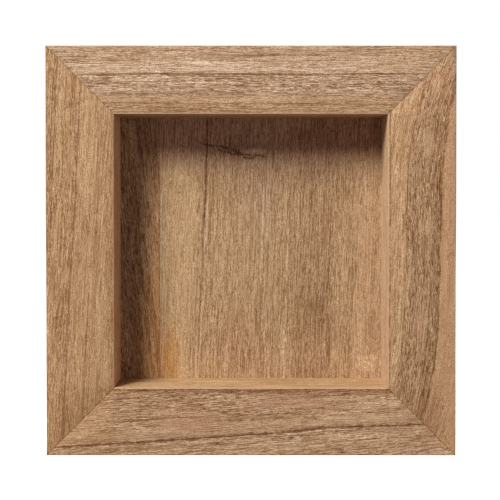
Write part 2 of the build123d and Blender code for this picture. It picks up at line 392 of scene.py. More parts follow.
# %% Shared group: one strong line
tree, source, sink = new_group(
    "grain_line",
    {
        "Grain": (0.0, 0.0, 0.0),
        "Place": 0.0,
        "Width": 0.6,
        "Start": -200.0,
        "End": 200.0,
        "Wobble": 0.6,
        "Strength": 1.0,
    },
    {"Mask": "Float"},
)
along, depth, across = tree.parts(source["Grain"])
wobble_space = tree.stretch(source["Grain"], 7, 30, (5.5, 0.3, 2.4))
wobble = tree.noise(wobble_space, detail=3.0, roughness=0.6).outputs[0]
offset = tree.math("MULTIPLY", tree.math("SUBTRACT", wobble, 0.5), source["Wobble"])
gap = tree.math("ABSOLUTE", tree.math("SUBTRACT", tree.math("ADD", across, offset), source["Place"]))
swell_space = tree.stretch(source["Grain"], 5, 200, (1.2, 8.1, 4.4))
swell = tree.noise(swell_space, detail=3.0, roughness=0.7).outputs[0]
line_width = tree.math("MULTIPLY", source["Width"], tree.ramp(swell, 0.34, 0.66, 0.5, 1.4))
body = tree.ramp(gap, tree.math("MULTIPLY", line_width, 0.2), line_width, 1.0, 0.0)
fade_in = tree.ramp(along, source["Start"], tree.math("ADD", source["Start"], 20.0))
fade_out = tree.ramp(along, tree.math("SUBTRACT", source["End"], 20.0), source["End"], 1.0, 0.0)
ends = tree.math("MULTIPLY", fade_in, fade_out)
shown = tree.math("MULTIPLY", tree.math("MULTIPLY", body, ends), source["Strength"])
tree.tree.links.new(shown, sink["Mask"])
print("grain_line:", len(tree.tree.nodes), "nodes")

# %% [markdown]
# A band is the same idea with two edges, and marks a stretch that is paler, plainer or busier than its
# neighbours. All four of its edges, two along the grain and two across it, are the same soft step.

# %% Shared group: a band
tree, source, sink = new_group(
    "grain_band",
    {
        "Grain": (0.0, 0.0, 0.0),
        "Low": 0.0,
        "High": 10.0,
        "Soft": 1.0,
        "Start": -300.0,
        "End": 300.0,
        "Fade": 12.0,
    },
    {"Mask": "Float"},
)
along, depth, across = tree.parts(source["Grain"])
wobble_space = tree.stretch(source["Grain"], 12, 6, (2.5, 4.3, 8.4))
wobble = tree.noise(wobble_space, detail=3.0, roughness=0.6).outputs[0]
moved = tree.math("ADD", across, tree.math("MULTIPLY", tree.math("SUBTRACT", wobble, 0.5), 4.0))


def soft_step(value, edge, soft, up):
    """A step that rises or falls over `soft` millimetres on either side of an edge."""
    low = tree.math("SUBTRACT", edge, soft)
    high = tree.math("ADD", edge, soft)
    return tree.ramp(value, low, high, 0.0 if up else 1.0, 1.0 if up else 0.0)


sides = tree.math(
    "MULTIPLY",
    soft_step(moved, source["Low"], source["Soft"], True),
    soft_step(moved, source["High"], source["Soft"], False),
)
ends = tree.math(
    "MULTIPLY",
    soft_step(along, source["Start"], source["Fade"], True),
    soft_step(along, source["End"], source["Fade"], False),
)
tree.tree.links.new(tree.math("MULTIPLY", sides, ends), sink["Mask"])
print("grain_band:", len(tree.tree.nodes), "nodes")

# %% [markdown]
# Some marks don't follow the grain. A check is a small crack where the wood pulled apart while drying. It
# runs across the fibres in short straight steps, so it is drawn from one point to the next.

# %% Shared group: a check
tree, source, sink = new_group(
    "check",
    {"Place": (0.0, 0.0, 0.0), "From": (0.0, 0.0, 0.0), "To": (10.0, 0.0, 0.0), "Width": 0.6},
    {"Mask": "Float"},
)
jitter = tree.noise(tree.stretch(source["Place"], 2.2, 2.2), detail=2.0).outputs["Color"]
jitter = tree.node("VectorMath", {0: jitter, 1: (0.5, 0.5, 0.5)}, operation="SUBTRACT").outputs[0]
jitter = tree.node("VectorMath", {0: jitter, "Scale": 3.2}, operation="SCALE").outputs[0]
place = tree.node("VectorMath", {0: source["Place"], 1: jitter}, operation="ADD").outputs[0]
place = tree.node("VectorMath", {0: place, 1: (1, 0, 1)}, operation="MULTIPLY").outputs[0]
run = tree.node("VectorMath", {0: source["To"], 1: source["From"]}, operation="SUBTRACT").outputs[0]
reach = tree.node("VectorMath", {0: place, 1: source["From"]}, operation="SUBTRACT").outputs[0]
dot = tree.node("VectorMath", {0: reach, 1: run}, operation="DOT_PRODUCT").outputs["Value"]
length = tree.node("VectorMath", {0: run, 1: run}, operation="DOT_PRODUCT").outputs["Value"]
part = tree.math("DIVIDE", dot, length, clamp=True)
nearest = tree.node("VectorMath", {0: run, "Scale": part}, operation="SCALE").outputs[0]
gap = tree.node("VectorMath", {0: reach, 1: nearest}, operation="DISTANCE").outputs["Value"]
breaks = tree.noise(tree.stretch(source["Place"], 3.0, 1.6, (8.8, 1.2, 4.1)), detail=2.0).outputs[0]
line_width = tree.math("MULTIPLY", source["Width"], tree.ramp(breaks, 0.36, 0.62, 0.35, 1.5))
shown = tree.ramp(gap, tree.math("MULTIPLY", line_width, 0.3), line_width, 0.85, 0.0)
tree.tree.links.new(shown, sink["Mask"])
print("check:", len(tree.tree.nodes), "nodes")

# %% [markdown]
# A spot is a rounded place: a stain, a worn corner, or a patch where the figure lies flat and no pores were
# cut open. It is an ellipse whose rim a noise makes ragged.

# %% Shared group: a spot
tree, source, sink = new_group(
    "spot",
    {
        "Place": (0.0, 0.0, 0.0),
        "Centre": (0.0, 0.0, 0.0),
        "Radius": (10.0, 1.0, 10.0),
        "Ragged": 0.5,
        "Soft": 0.5,
    },
    {"Mask": "Float"},
)
ragged_space = tree.stretch(source["Place"], 7, 2.2, (6.1, 3.3, 0.9))
ragged = tree.noise(ragged_space, detail=3.0, roughness=0.6).outputs[0]
reach = tree.node("VectorMath", {0: source["Place"], 1: source["Centre"]}, operation="SUBTRACT").outputs[0]
reach = tree.node("VectorMath", {0: reach, 1: source["Radius"]}, operation="DIVIDE").outputs[0]
reach = tree.node("VectorMath", {0: reach, 1: (1, 0, 1)}, operation="MULTIPLY").outputs[0]
gap = tree.node("VectorMath", {0: reach}, operation="LENGTH").outputs["Value"]
gap = tree.math("ADD", gap, tree.math("MULTIPLY", tree.math("SUBTRACT", ragged, 0.5), source["Ragged"]))
rim_low = tree.math("SUBTRACT", 1.0, source["Soft"])
rim_high = tree.math("ADD", 1.0, source["Soft"])
tree.tree.links.new(tree.ramp(gap, rim_low, rim_high, 1.0, 0.0), sink["Mask"])
print("spot:", len(tree.tree.nodes), "nodes")

# %% [markdown]
# A small knot is where a twig once left the stem. The fibres swirl round it, so its marks are short pale arcs
# about a middle. The distance from that middle, bent by a noise, gives the arcs, and a second noise breaks
# them up.

# %% Shared group: a pale knot
tree, source, sink = new_group(
    "knot",
    {"Place": (0.0, 0.0, 0.0), "Centre": (0.0, 0.0, 0.0), "Radius": 8.0, "Arc": 2.4},
    {"Mask": "Float"},
)
bend = tree.noise(tree.stretch(source["Place"], 5.5, 5.5, (2.2, 6.4, 1.1)), detail=2.0).outputs["Color"]
bend = tree.node("VectorMath", {0: bend, 1: (0.5, 0.5, 0.5)}, operation="SUBTRACT").outputs[0]
bend = tree.node("VectorMath", {0: bend, "Scale": 11.0}, operation="SCALE").outputs[0]
reach = tree.node("VectorMath", {0: source["Place"], 1: source["Centre"]}, operation="SUBTRACT").outputs[0]
reach = tree.node("VectorMath", {0: reach, 1: (1, 0, 1)}, operation="MULTIPLY").outputs[0]
away = tree.node("VectorMath", {0: reach}, operation="LENGTH").outputs["Value"]
bent = tree.node("VectorMath", {0: reach, 1: bend}, operation="ADD").outputs[0]
bent = tree.node("VectorMath", {0: bent, 1: (1, 0, 1)}, operation="MULTIPLY").outputs[0]
bent = tree.node("VectorMath", {0: bent}, operation="LENGTH").outputs["Value"]
turn = tree.math("FRACT", tree.math("DIVIDE", bent, source["Arc"]))
arcs = tree.ramp(tree.math("ABSOLUTE", tree.math("SUBTRACT", turn, 0.5)), 0.10, 0.30, 1.0, 0.0)
breaks = tree.noise(tree.stretch(source["Place"], 2.0, 2.0, (7.0, 0.9, 3.6)), detail=2.0).outputs[0]
arcs = tree.math("MULTIPLY", arcs, tree.ramp(breaks, 0.40, 0.58, 0.15, 1.0))
inside = tree.math("DIVIDE", away, source["Radius"])
tree.tree.links.new(tree.math("MULTIPLY", arcs, tree.ramp(inside, 0.35, 1.0, 1.0, 0.0)), sink["Mask"])
print("knot:", len(tree.tree.nodes), "nodes")

# %% [markdown]
# Edges have a life of their own. The arris round the opening gets a painted highlight, a pale line along its
# rounding. A hair outside it dirt has settled in a fine line, the mitres collect the same dirt, the walls of
# the recess get a tone of their own, and the front's outer arris gets painted shade, a darker rim. One group
# says how near a point is to each of these.

# %% Shared group: edges of the frame
tree, source, sink = new_group(
    "frame_edges",
    {"Place": (0.0, 0.0, 0.0)},
    dict.fromkeys(("Arris Highlight", "Dirt", "Mitre", "Recess Wall", "Inner Side", "Outer Shade"), "Float"),
)
along, depth, across = tree.parts(source["Place"])
away = tree.math("ABSOLUTE", across)
beside = tree.math("ABSOLUTE", along)
INNER = INNER_HALF / MM
OUTER = HALF / MM
ragged = tree.noise(tree.stretch(source["Place"], 5, 1.3), detail=3.0).outputs[0]
shake = tree.math("MULTIPLY", tree.math("SUBTRACT", ragged, 0.5), 0.9)
edge_away = tree.math("ADD", away, shake)
on_front = tree.ramp(depth, 0.9, 1.5, 1.0, 0.0)
# Where the painted highlight goes: a pale line along the rounded arris round the opening.
near_opening = tree.ramp(edge_away, INNER + 0.7, INNER + 1.3, 1.0, 0.0)
arris_highlight = tree.math("MULTIPLY", near_opening, tree.ramp(depth, 1.4, 2.4, 1.0, 0.0))
dirt_gap = tree.math("ABSOLUTE", tree.math("SUBTRACT", edge_away, INNER + 1.6))
dirt = tree.math("MULTIPLY", tree.ramp(dirt_gap, 0.15, 0.75, 1.0, 0.0), on_front)
broken_space = tree.stretch(source["Place"], 2.6, 60, (1.1, 0.4, 6.2))
broken = tree.noise(broken_space, detail=3.0, roughness=0.6).outputs[0]
dirt = tree.math("MULTIPLY", dirt, tree.ramp(broken, 0.40, 0.58, 0.25, 1.1))
mitre_gap = tree.math("ABSOLUTE", tree.math("SUBTRACT", away, beside))
mitre = tree.math("MULTIPLY", tree.ramp(mitre_gap, 0.2, 0.62, 1.0, 0.0), on_front)
on_wall = tree.ramp(away, INNER + 0.2, INNER + 0.6, 1.0, 0.0)
recess_wall = tree.math("MULTIPLY", tree.ramp(depth, 1.2, 2.2), on_wall)
inner_side = tree.ramp(away, INNER + 1.0, INNER + 8.0, 1.0, 0.0)
# Where painted shade goes: the front's rounded outer arris, darkened as a rim.
near_outside = tree.ramp(edge_away, OUTER - 1.1, OUTER - 0.4)
outer_shade = tree.math("MULTIPLY", near_outside, tree.ramp(depth, 2.0, 3.2, 1.0, 0.0))
for name, value in (
    ("Arris Highlight", arris_highlight),
    ("Dirt", dirt),
    ("Mitre", mitre),
    ("Recess Wall", recess_wall),
    ("Inner Side", inner_side),
    ("Outer Shade", outer_shade),
):
    tree.tree.links.new(value, sink[name])
print("shared groups:", [g.name for g in bpy.data.node_groups])

# %% [markdown]
# ## The timber finish
#
# A finish is a function, so each rail and board gets its own material with its own log, tones and lines.
# Colour is built in the order that the eye would list it: the ground tone with its bands and spots, broad
# patches, rings, fine fibres, pores, flecks, and last the strong lines and the edges. Darker marks multiply
# the tone under them, so they stay warm on a warm band.
#
# Much of that is one move made again and again: where a noise is high the colour darkens, and where it is
# low the colour pales. That move comes first.

# %% Tones, and one way to dapple a colour
DARK = (0.68, 0.575, 0.47, 1)
FIBRE = (0.59, 0.475, 0.37, 1)
DEEP = (0.43, 0.30, 0.21, 1)
PALE = (1.22, 1.33, 1.46, 1)
CREAM = (1.42, 1.68, 1.95, 1)


def dapple(tree, colour, value, darker, paler, dark_tone=DARK, where=None):
    """Darkens a colour where a noise is high, and pales it where it is low. Each is (low, high, strength)."""
    dark_mask = tree.ramp(value, darker[0], darker[1], 0.0, darker[2])
    pale_mask = tree.ramp(value, paler[0], paler[1], paler[2], 0.0)
    if where is not None:
        dark_mask = tree.math("MULTIPLY", dark_mask, where)
        pale_mask = tree.math("MULTIPLY", pale_mask, where)
    colour = tree.tint(dark_mask, colour, dark_tone)
    return tree.tint(pale_mask, colour, PALE)


print("tones: dark, fibre, deep, pale and cream")

# %% [markdown]
# The ground comes first. Each band and each spot brings a tone and says how busy the figure is inside it, so
# a plain stretch of wood stays plain. The walls of the recess get a tone of their own, with calmer fibres and
# a slow figure.

# %% Ground tones
WALL_BUSY = 0.42
WALL_FIGURE = 0.4


def ground_tones(tree, place, grain, ground, busy, bands, spots):
    """The ground with its bands and spots, and how busy the figure is at each place."""
    colour, lively = ground, busy
    for tone, band_busy, limits in bands:
        mask = tree.group("grain_band", Grain=grain, **limits)["Mask"]
        colour = tree.mix(mask, colour, tone)
        lively = tree.blend(mask, lively, band_busy)
    for tone, spot_busy, strength, limits in spots:
        mask = tree.math("MULTIPLY", tree.group("spot", Place=place, **limits)["Mask"], strength)
        colour = tree.mix(mask, colour, tone)
        lively = tree.blend(mask, lively, spot_busy)
    return colour, lively


def wall_tones(tree, place, colour, lively, near, edges, seed):
    """A rail's ground again, with the tones of its inner side and of its wall in the recess."""
    colour = tree.tint(tree.math("MULTIPLY", near["Inner Side"], edges["inner_shade"]), colour, DARK)
    colour = tree.mix(near["Recess Wall"], colour, edges["wall"])
    lively = tree.blend(near["Recess Wall"], lively, WALL_BUSY)
    figure = tree.noise(tree.stretch(place, 38, 4.5, (seed, 2.1, 3.7)), detail=3.0, roughness=0.6).outputs[0]
    darker, paler = (0.50, 0.64, WALL_FIGURE), (0.36, 0.50, WALL_FIGURE)
    return dapple(tree, colour, figure, darker, paler, where=near["Recess Wall"]), lively


def patches_and_streaks(tree, colour, own, strength):
    """Two slow changes of tone: patches a few centimetres long, and streaks nearly as long as the piece."""
    patches = tree.noise(tree.stretch(own, 55, 10), detail=4.0, roughness=0.6).outputs[0]
    colour = dapple(tree, colour, patches, (0.46, 0.70, strength), (0.30, 0.52, 0.8 * strength))
    streak_space = tree.stretch(own, 130, 2.6, (9.1, 2.2, 6.3))
    streaks = tree.noise(streak_space, detail=3.0, roughness=0.65).outputs[0]
    return dapple(tree, colour, streaks, (0.48, 0.66, 0.9 * strength), (0.34, 0.50, 0.7 * strength))


print("ground: bands, spots, walls, patches and streaks")

# %% [markdown]
# Next come the marks of growth. The late part of each ring is darker, and some rings far more than others.
# Over them lie the fibres: three noises, each stretched along the grain to another length, so that long
# threads, middling ones and short ends lie side by side. A very fine grit breaks them all up.

# %% Rings and fibres
FIBRE_SIZES = (
    (60, 0.46, (0.7, 5.2, 8.8), 0.34),
    (13, 0.44, (2.9, 6.6, 1.3), 0.36),
    (3.6, 0.42, (7.9, 2.6, 5.3), 0.30),
)
GRIT = 0.75


def ring_tones(tree, colour, rings, lively, strength):
    """The dark late wood at the end of each ring."""
    rise = tree.ramp(rings["Phase"], 0.62, 0.95)
    late = tree.math("MULTIPLY", rise, tree.ramp(rings["Phase"], 0.95, 1.0, 1.0, 0.0))
    late = tree.math("MULTIPLY", late, tree.ramp(rings["Tone"], 0.35, 1.0))
    return tree.tint(tree.math("MULTIPLY", late, tree.math("MULTIPLY", lively, strength)), colour, DARK)


def curled(tree, own, lively):
    """The grain's space with small curls in it, stronger where the figure is busy."""
    curl = tree.noise(tree.stretch(own, 4.5, 3.0, (4.0, 1.7, 7.1)), detail=2.0).outputs["Color"]
    curl = tree.node("VectorMath", {0: curl, 1: (0.5, 0.5, 0.5)}, operation="SUBTRACT").outputs[0]
    amount = tree.math("MULTIPLY", lively, 0.9)
    curl = tree.node("VectorMath", {0: curl, "Scale": amount}, operation="SCALE").outputs[0]
    return tree.node("VectorMath", {0: own, 1: curl}, operation="ADD").outputs[0]


def fibre_tones(tree, colour, own, fine, lively, strength):
    """The colour with its fibres and grit, and the fibres' own pattern for the relief."""
    fibres = 0.0
    for length, width, shift, share in FIBRE_SIZES:
        threads = tree.noise(tree.stretch(fine, length, width, shift), detail=0.0).outputs[0]
        fibres = tree.math("MULTIPLY_ADD", threads, share, fibres)
    amount = tree.math("MULTIPLY_ADD", lively, strength, 0.25)
    colour = dapple(tree, colour, fibres, (0.50, 0.58, 1.0), (0.42, 0.50, 1.0), FIBRE, amount)
    grit = tree.noise(tree.stretch(own, 0.75, 0.5, (3.3, 1.1, 2.2)), detail=0.0).outputs[0]
    return dapple(tree, colour, grit, (0.50, 0.72, GRIT), (0.28, 0.50, GRIT), FIBRE), fibres


print("growth: rings, curls and", len(FIBRE_SIZES), "sizes of fibre")

# %% [markdown]
# Last come the marks with sharp edges: pores in two sizes, the cream flecks between them, and then whatever
# this one piece has that no other has, its lines, knots and checks. Whatever is open in the real wood is also
# collected in a second mask, which sinks the surface there.

# %% Pores, lines and edges
FINE_PORE_LENGTH = 4.0
FINE_PORE_WIDTH = 0.34
FINE_PORE_AMOUNT = 0.42
PORE_LENGTH = 6.5
PORE_AMOUNT = 0.50
FLECK_LENGTH = 7.5
FLECK_TO_PORE = 0.82
FLECK_AMOUNT = 0.44
FLECK_SHIFT = (31.7, 5.9, 0.62)
# How strong the painted shade on the front's outer arris is.
OUTER_SHADE = 0.35


def pore_tones(tree, colour, fine, lively, pore_width, dash_strength, fleck_strength):
    """The colour with pores and flecks, and how deep the pores sink."""

    def strewn(space, length, width, amount):
        """Dashes, more of them where the figure is busy."""
        share = tree.math("MULTIPLY", lively, amount)
        return tree.group("dashes", Grain=space, Length=length, Width=width, Amount=share)["Mask"]

    fine_pores = strewn(fine, FINE_PORE_LENGTH, FINE_PORE_WIDTH, FINE_PORE_AMOUNT)
    pores = strewn(fine, PORE_LENGTH, pore_width, PORE_AMOUNT)
    elsewhere = tree.node("VectorMath", {0: fine, 1: FLECK_SHIFT}, operation="ADD").outputs[0]
    flecks = strewn(elsewhere, FLECK_LENGTH, FLECK_TO_PORE * pore_width, FLECK_AMOUNT)
    colour = tree.tint(tree.math("MULTIPLY", fine_pores, 0.4), colour, DEEP)
    colour = tree.tint(tree.math("MULTIPLY", pores, dash_strength), colour, DEEP)
    colour = tree.tint(tree.math("MULTIPLY", flecks, fleck_strength), colour, CREAM)
    sunk = tree.math("MAXIMUM", tree.math("MULTIPLY", fine_pores, 0.6), tree.math("MULTIPLY", pores, 0.9))
    return colour, sunk


def own_marks(tree, colour, sunk, place, grain, lines, pale_lines, checks, knots):
    """The lines, checks and knots that only this piece has."""
    for knot in knots:
        colour = tree.tint(tree.group("knot", Place=place, **knot)["Mask"], colour, CREAM)
    for mark in lines:
        mask = tree.group("grain_line", Grain=grain, **mark)["Mask"]
        colour = tree.tint(mask, colour, DEEP)
        sunk = tree.math("MAXIMUM", sunk, mask)
    for mark in pale_lines:
        colour = tree.tint(tree.group("grain_line", Grain=grain, **mark)["Mask"], colour, CREAM)
    for mark in checks:
        mask = tree.group("check", Place=place, **mark)["Mask"]
        colour = tree.tint(mask, colour, DEEP)
        sunk = tree.math("MAXIMUM", sunk, mask)
    return colour, sunk


def edge_dirt_and_painted_light(tree, colour, near, edges):
    """Dirt beside the opening, the painted highlight on the arris, the mitre lines and painted shade on the
    outer edge.
    """
    colour = tree.tint(tree.math("MULTIPLY", near["Dirt"], edges["dirt"]), colour, DEEP)
    # A painted highlight: the rounded arris round the opening is mixed towards a pale tone.
    colour = tree.mix(tree.math("MULTIPLY", near["Arris Highlight"], edges["arris_highlight"]), colour, edges["arris_highlight_tone"])
    colour = tree.tint(tree.math("MULTIPLY", near["Mitre"], edges["mitre"]), colour, DEEP)
    # Painted shade: the rounded outer arris is darkened.
    return tree.tint(tree.math("MULTIPLY", near["Outer Shade"], OUTER_SHADE), colour, DARK)


print("marks: pores, flecks, lines, checks, knots and worn edges")

# %% [markdown]
# The finish puts those parts together. A Mapping node turns the pattern, so the grain runs up a side rail and
# along a top rail, as the boards are really cut, and counts in millimetres from the middle of the frame's
# front. Each piece has a seed that carries it to another part of the noise. The surface is dry and open, so
# its shine is weak, and fibres and pores roughen it with a little relief.

# %% Timber material
UPRIGHT = "upright"
LEVEL = "level"
SEED_STEP = (611, 37, 0)
DRY_SHINE = 0.28
RELIEF = 0.25 * MM


def timber(
    name,
    run,
    ground,
    log,
    busy=1.0,
    fibre_strength=0.75,
    ring_strength=0.4,
    dash_strength=0.7,
    fleck_strength=0.6,
    pore_width=0.85,
    patch_strength=0.3,
    bands=(),
    lines=(),
    pale_lines=(),
    spots=(),
    checks=(),
    knots=(),
    edges=None,
    seed=0.0,
):
    """A dry, open-pored timber. The log's entries are the inputs of the growth_rings group."""
    material = bpy.data.materials.new(name)
    material.use_nodes = True
    tree = Tree(material.node_tree)
    shader = material.node_tree.nodes["Principled BSDF"]
    if run == UPRIGHT:
        turn = (0, math.radians(90), 0)
        centre = (-CENTRE_Z / MM, -FRONT_Y / MM, 0)
    else:
        turn = (0, 0, 0)
        centre = (0, -FRONT_Y / MM, -CENTRE_Z / MM)
    place = tree.node("TexCoord").outputs["Object"]
    scale = (1 / MM, 1 / MM, 1 / MM)
    turned = {"Vector": place, "Rotation": turn, "Scale": scale, "Location": centre}
    place = tree.node("Mapping", turned).outputs[0]
    rings = tree.group("growth_rings", Vector=place, **log)
    grain = rings["Grain"]
    shift = tuple(seed * step for step in SEED_STEP)
    own = tree.node("VectorMath", {0: grain, 1: shift}, operation="ADD").outputs[0]

    colour, lively = ground_tones(tree, place, grain, ground, busy, bands, spots)
    if edges:
        near = tree.group("frame_edges", Place=place)
        colour, lively = wall_tones(tree, place, colour, lively, near, edges, seed)
    colour = patches_and_streaks(tree, colour, own, patch_strength)
    colour = ring_tones(tree, colour, rings, lively, ring_strength)
    fine = curled(tree, own, lively)
    colour, fibres = fibre_tones(tree, colour, own, fine, lively, fibre_strength)
    colour, sunk = pore_tones(tree, colour, fine, lively, pore_width, dash_strength, fleck_strength)
    colour, sunk = own_marks(tree, colour, sunk, place, grain, lines, pale_lines, checks, knots)
    if edges:
        colour = edge_dirt_and_painted_light(tree, colour, near, edges)

    height = tree.math("SUBTRACT", tree.math("MULTIPLY", fibres, 0.5), sunk)
    bump = tree.node("Bump", {"Height": height, "Strength": 0.35, "Distance": RELIEF})
    links = material.node_tree.links
    links.new(colour, shader.inputs["Base Color"])
    links.new(tree.ramp(fibres, 0.3, 0.7, 0.58, 0.74), shader.inputs["Roughness"])
    links.new(bump.outputs[0], shader.inputs["Normal"])
    shader.inputs["Specular IOR Level"].default_value = DRY_SHINE
    return material


print("timber: one finish, run", UPRIGHT, "or", LEVEL)

# %% [markdown]
# A piece's marks are easier to write, and to read, in short forms. Each of these gives one entry of a list:
# where it lies, in millimetres from the middle of the frame's front, how strong it is, and its tone as it
# looks on a screen.

# %% Short forms for logs, bands, spots, lines and edges
def log(depth, across, slope=0.0, twist=0.0, spacing=4.0, wander=3.0):
    """Where a piece lies in its log, as the growth_rings group names it."""
    return {
        "Pith_Depth": depth,
        "Pith_Across": across,
        "Slope": slope,
        "Twist": twist,
        "Spacing": spacing,
        "Wander": wander,
    }


def band(tone, busy, low, high, soft=1.0, **limits):
    """A stretch between two places across the grain, with its own tone and its own amount of figure."""
    return srgb(*tone), busy, {"Low": low, "High": high, "Soft": soft, **limits}


def spot(tone, busy, strength, along, across, long, wide, ragged=0.5, soft=0.5):
    """A rounded place `along` and `across` from the middle of the frame's front, with its two radii."""
    limits = {"Centre": (along, 0, across), "Radius": (long, 1, wide), "Ragged": ragged, "Soft": soft}
    return srgb(*tone), busy, strength, limits


def line(place, width=0.7, strength=0.5, start=-200.0, end=200.0, wobble=1.2):
    """A line along the grain at one place across it, from start to end."""
    limits = {"Place": place, "Start": start, "End": end}
    return {"Width": width, "Strength": strength, "Wobble": wobble, **limits}


def edge_tones(wall, arris_highlight_tone, inner_shade=0.3, dirt=0.5, arris_highlight=0.7, mitre=0.6):
    """The tones of a rail's wall and of the highlight painted on its arris, and how strong its edge marks
    are.
    """
    return {
        "wall": srgb(*wall),
        "arris_highlight_tone": srgb(*arris_highlight_tone),
        "inner_shade": inner_shade,
        "dirt": dirt,
        "arris_highlight": arris_highlight,
        "mitre": mitre,
    }


print("a log 60 mm behind the face:", log(60, 0))

# %% [markdown]
# ## Finishes of the four rails
#
# The rails come from the same kind of wood but not from one plank. The top one is straight grained with a
# few hard lines, in bands that grow paler towards its outer edge.

# %% Top rail's finish
top_timber = timber(
    "timber_top_rail",
    LEVEL,
    ground=srgb(183, 147, 116),
    log=log(150, 90, spacing=3.4, wander=1.2),
    busy=0.9,
    dash_strength=0.85,
    fleck_strength=0.7,
    pore_width=0.6,
    bands=(
        band((197, 163, 134), 0.8, 132.0, 141.0),
        band((194, 158, 128), 1.35, 118.5, 131.0),
        band((190, 150, 113), 0.6, 109.8, 114.0),
        band((182, 143, 108), 0.85, 95.0, 109.0),
    ),
    spots=(spot((201, 164, 131), 0.8, 0.6, 130, 136, 26, 16, 0.9, 0.6),),
    lines=(
        line(131.3, 1.0, 0.85, -131, 134),
        line(145.8, 0.8, 0.6, -45, 60),
        line(148.2, 0.7, 0.35, -20, 120),
        line(141.6, 0.8, 0.35, -130, -70),
        line(122.0, 0.8, 0.5, -20, 100),
        line(116.2, 0.8, 0.5, -100, 10),
        line(109.4, 0.8, 0.55),
    ),
    pale_lines=(
        line(128.2, 0.9, 0.55, -110, -20),
        line(124.6, 0.8, 0.4, -60, 70),
        line(120.9, 0.6, 0.4, -10, 100),
    ),
    edges=edge_tones((198, 148, 108), (220, 184, 146), inner_shade=0.15, dirt=0.25),
    seed=1.0,
)
print("top rail:", top_timber.name)

# %% [markdown]
# The bottom rail has slanting, wavy figure, because its log lies close behind the face and leans. One strong
# dark line crosses nearly its whole length.

# %% Bottom rail's finish
bottom_timber = timber(
    "timber_bottom_rail",
    LEVEL,
    ground=srgb(192, 153, 119),
    log=log(34, -120, slope=-0.064, spacing=4.4, wander=2.4),
    busy=1.0,
    bands=(
        band((182, 142, 108), 1.3, -127.0, -95.0, 2.0, Start=-140, End=50, Fade=25),
        band((189, 151, 117), 0.6, -134.5, -127.5),
        band((193, 155, 121), 1.1, -141.5, -137.0),
        band((199, 162, 127), 0.9, -149.0, -142.0),
    ),
    spots=(
        spot((186, 142, 112), 0.15, 0.9, -48, -127, 26, 7),
        spot((182, 139, 110), 0.3, 0.8, 30, -112, 34, 5),
        spot((176, 134, 97), 0.6, 0.7, -128, -130, 30, 22, 0.9, 0.6),
        spot((174, 132, 98), 0.8, 0.6, 132, -128, 26, 18, 0.9, 0.6),
    ),
    lines=(
        line(-136.6, 1.5, 1.0, wobble=2.4),
        line(-135.0, 2.0, 0.22, -90, 130, 2.0),
        line(-139.2, 0.8, 0.45, -10, 130),
        line(-143.4, 0.7, 0.4, -140, 60),
        line(-146.8, 0.8, 0.45, -60, 150),
        line(-112.4, 0.9, 0.5, 10, 90),
        line(-120.8, 0.9, 0.5, -110, -30),
    ),
    pale_lines=(line(-145.0, 1.0, 0.4, -150, -20), line(-138.0, 0.7, 0.35, -30, 120)),
    edges=edge_tones((190, 153, 113), (206, 166, 126), inner_shade=1.0, dirt=0.4),
    seed=2.0,
)
print("bottom rail:", bottom_timber.name)

# %% [markdown]
# The left rail is fine and even. Its log lies far away, so its lines run straight and close together.

# %% Left rail's finish
left_timber = timber(
    "timber_left_rail",
    UPRIGHT,
    ground=srgb(183, 142, 104),
    log=log(190, 60, slope=0.055, spacing=3.0, wander=1.2),
    busy=0.62,
    ring_strength=0.3,
    dash_strength=0.45,
    patch_strength=0.28,
    bands=(
        band((178, 136, 98), 0.95, 132.9, 144.5),
        band((185, 146, 107), 0.85, 144.8, 149.0),
        band((176, 135, 97), 1.1, 149.5, 175.0),
    ),
    spots=(spot((175, 130, 91), 0.6, 0.7, -128, 130, 30, 28, 0.9, 0.6),),
    lines=(
        line(132.9, 1.2, 0.6, -150, 132, 0.9),
        line(135.4, 0.8, 0.4, 20, 120),
        line(138.1, 0.8, 0.35, -20, 90),
        line(150.6, 0.8, 0.5, 10, 150),
        line(153.0, 0.8, 0.45, 40, 152),
        line(117.8, 0.7, 0.35, 20, 120),
        line(115.6, 0.8, 0.35, -20, 60),
        line(113.0, 0.7, 0.35, -60, 20),
        line(118.4, 1.1, 0.6, -140, -25, 0.8),
    ),
    pale_lines=(line(130.9, 1.2, 0.25, -40, 110), line(112.0, 0.9, 0.3, -20, 90)),
    edges=edge_tones((184, 138, 100), (190, 148, 110), inner_shade=0.35, dirt=0.25, arris_highlight=0.5),
    seed=3.0,
)
print("left rail:", left_timber.name)

# %% [markdown]
# The right rail is flat-sawn and busy, with a plain outer band in which hardly a pore shows. A few small
# smooth places lie in a row along its middle.

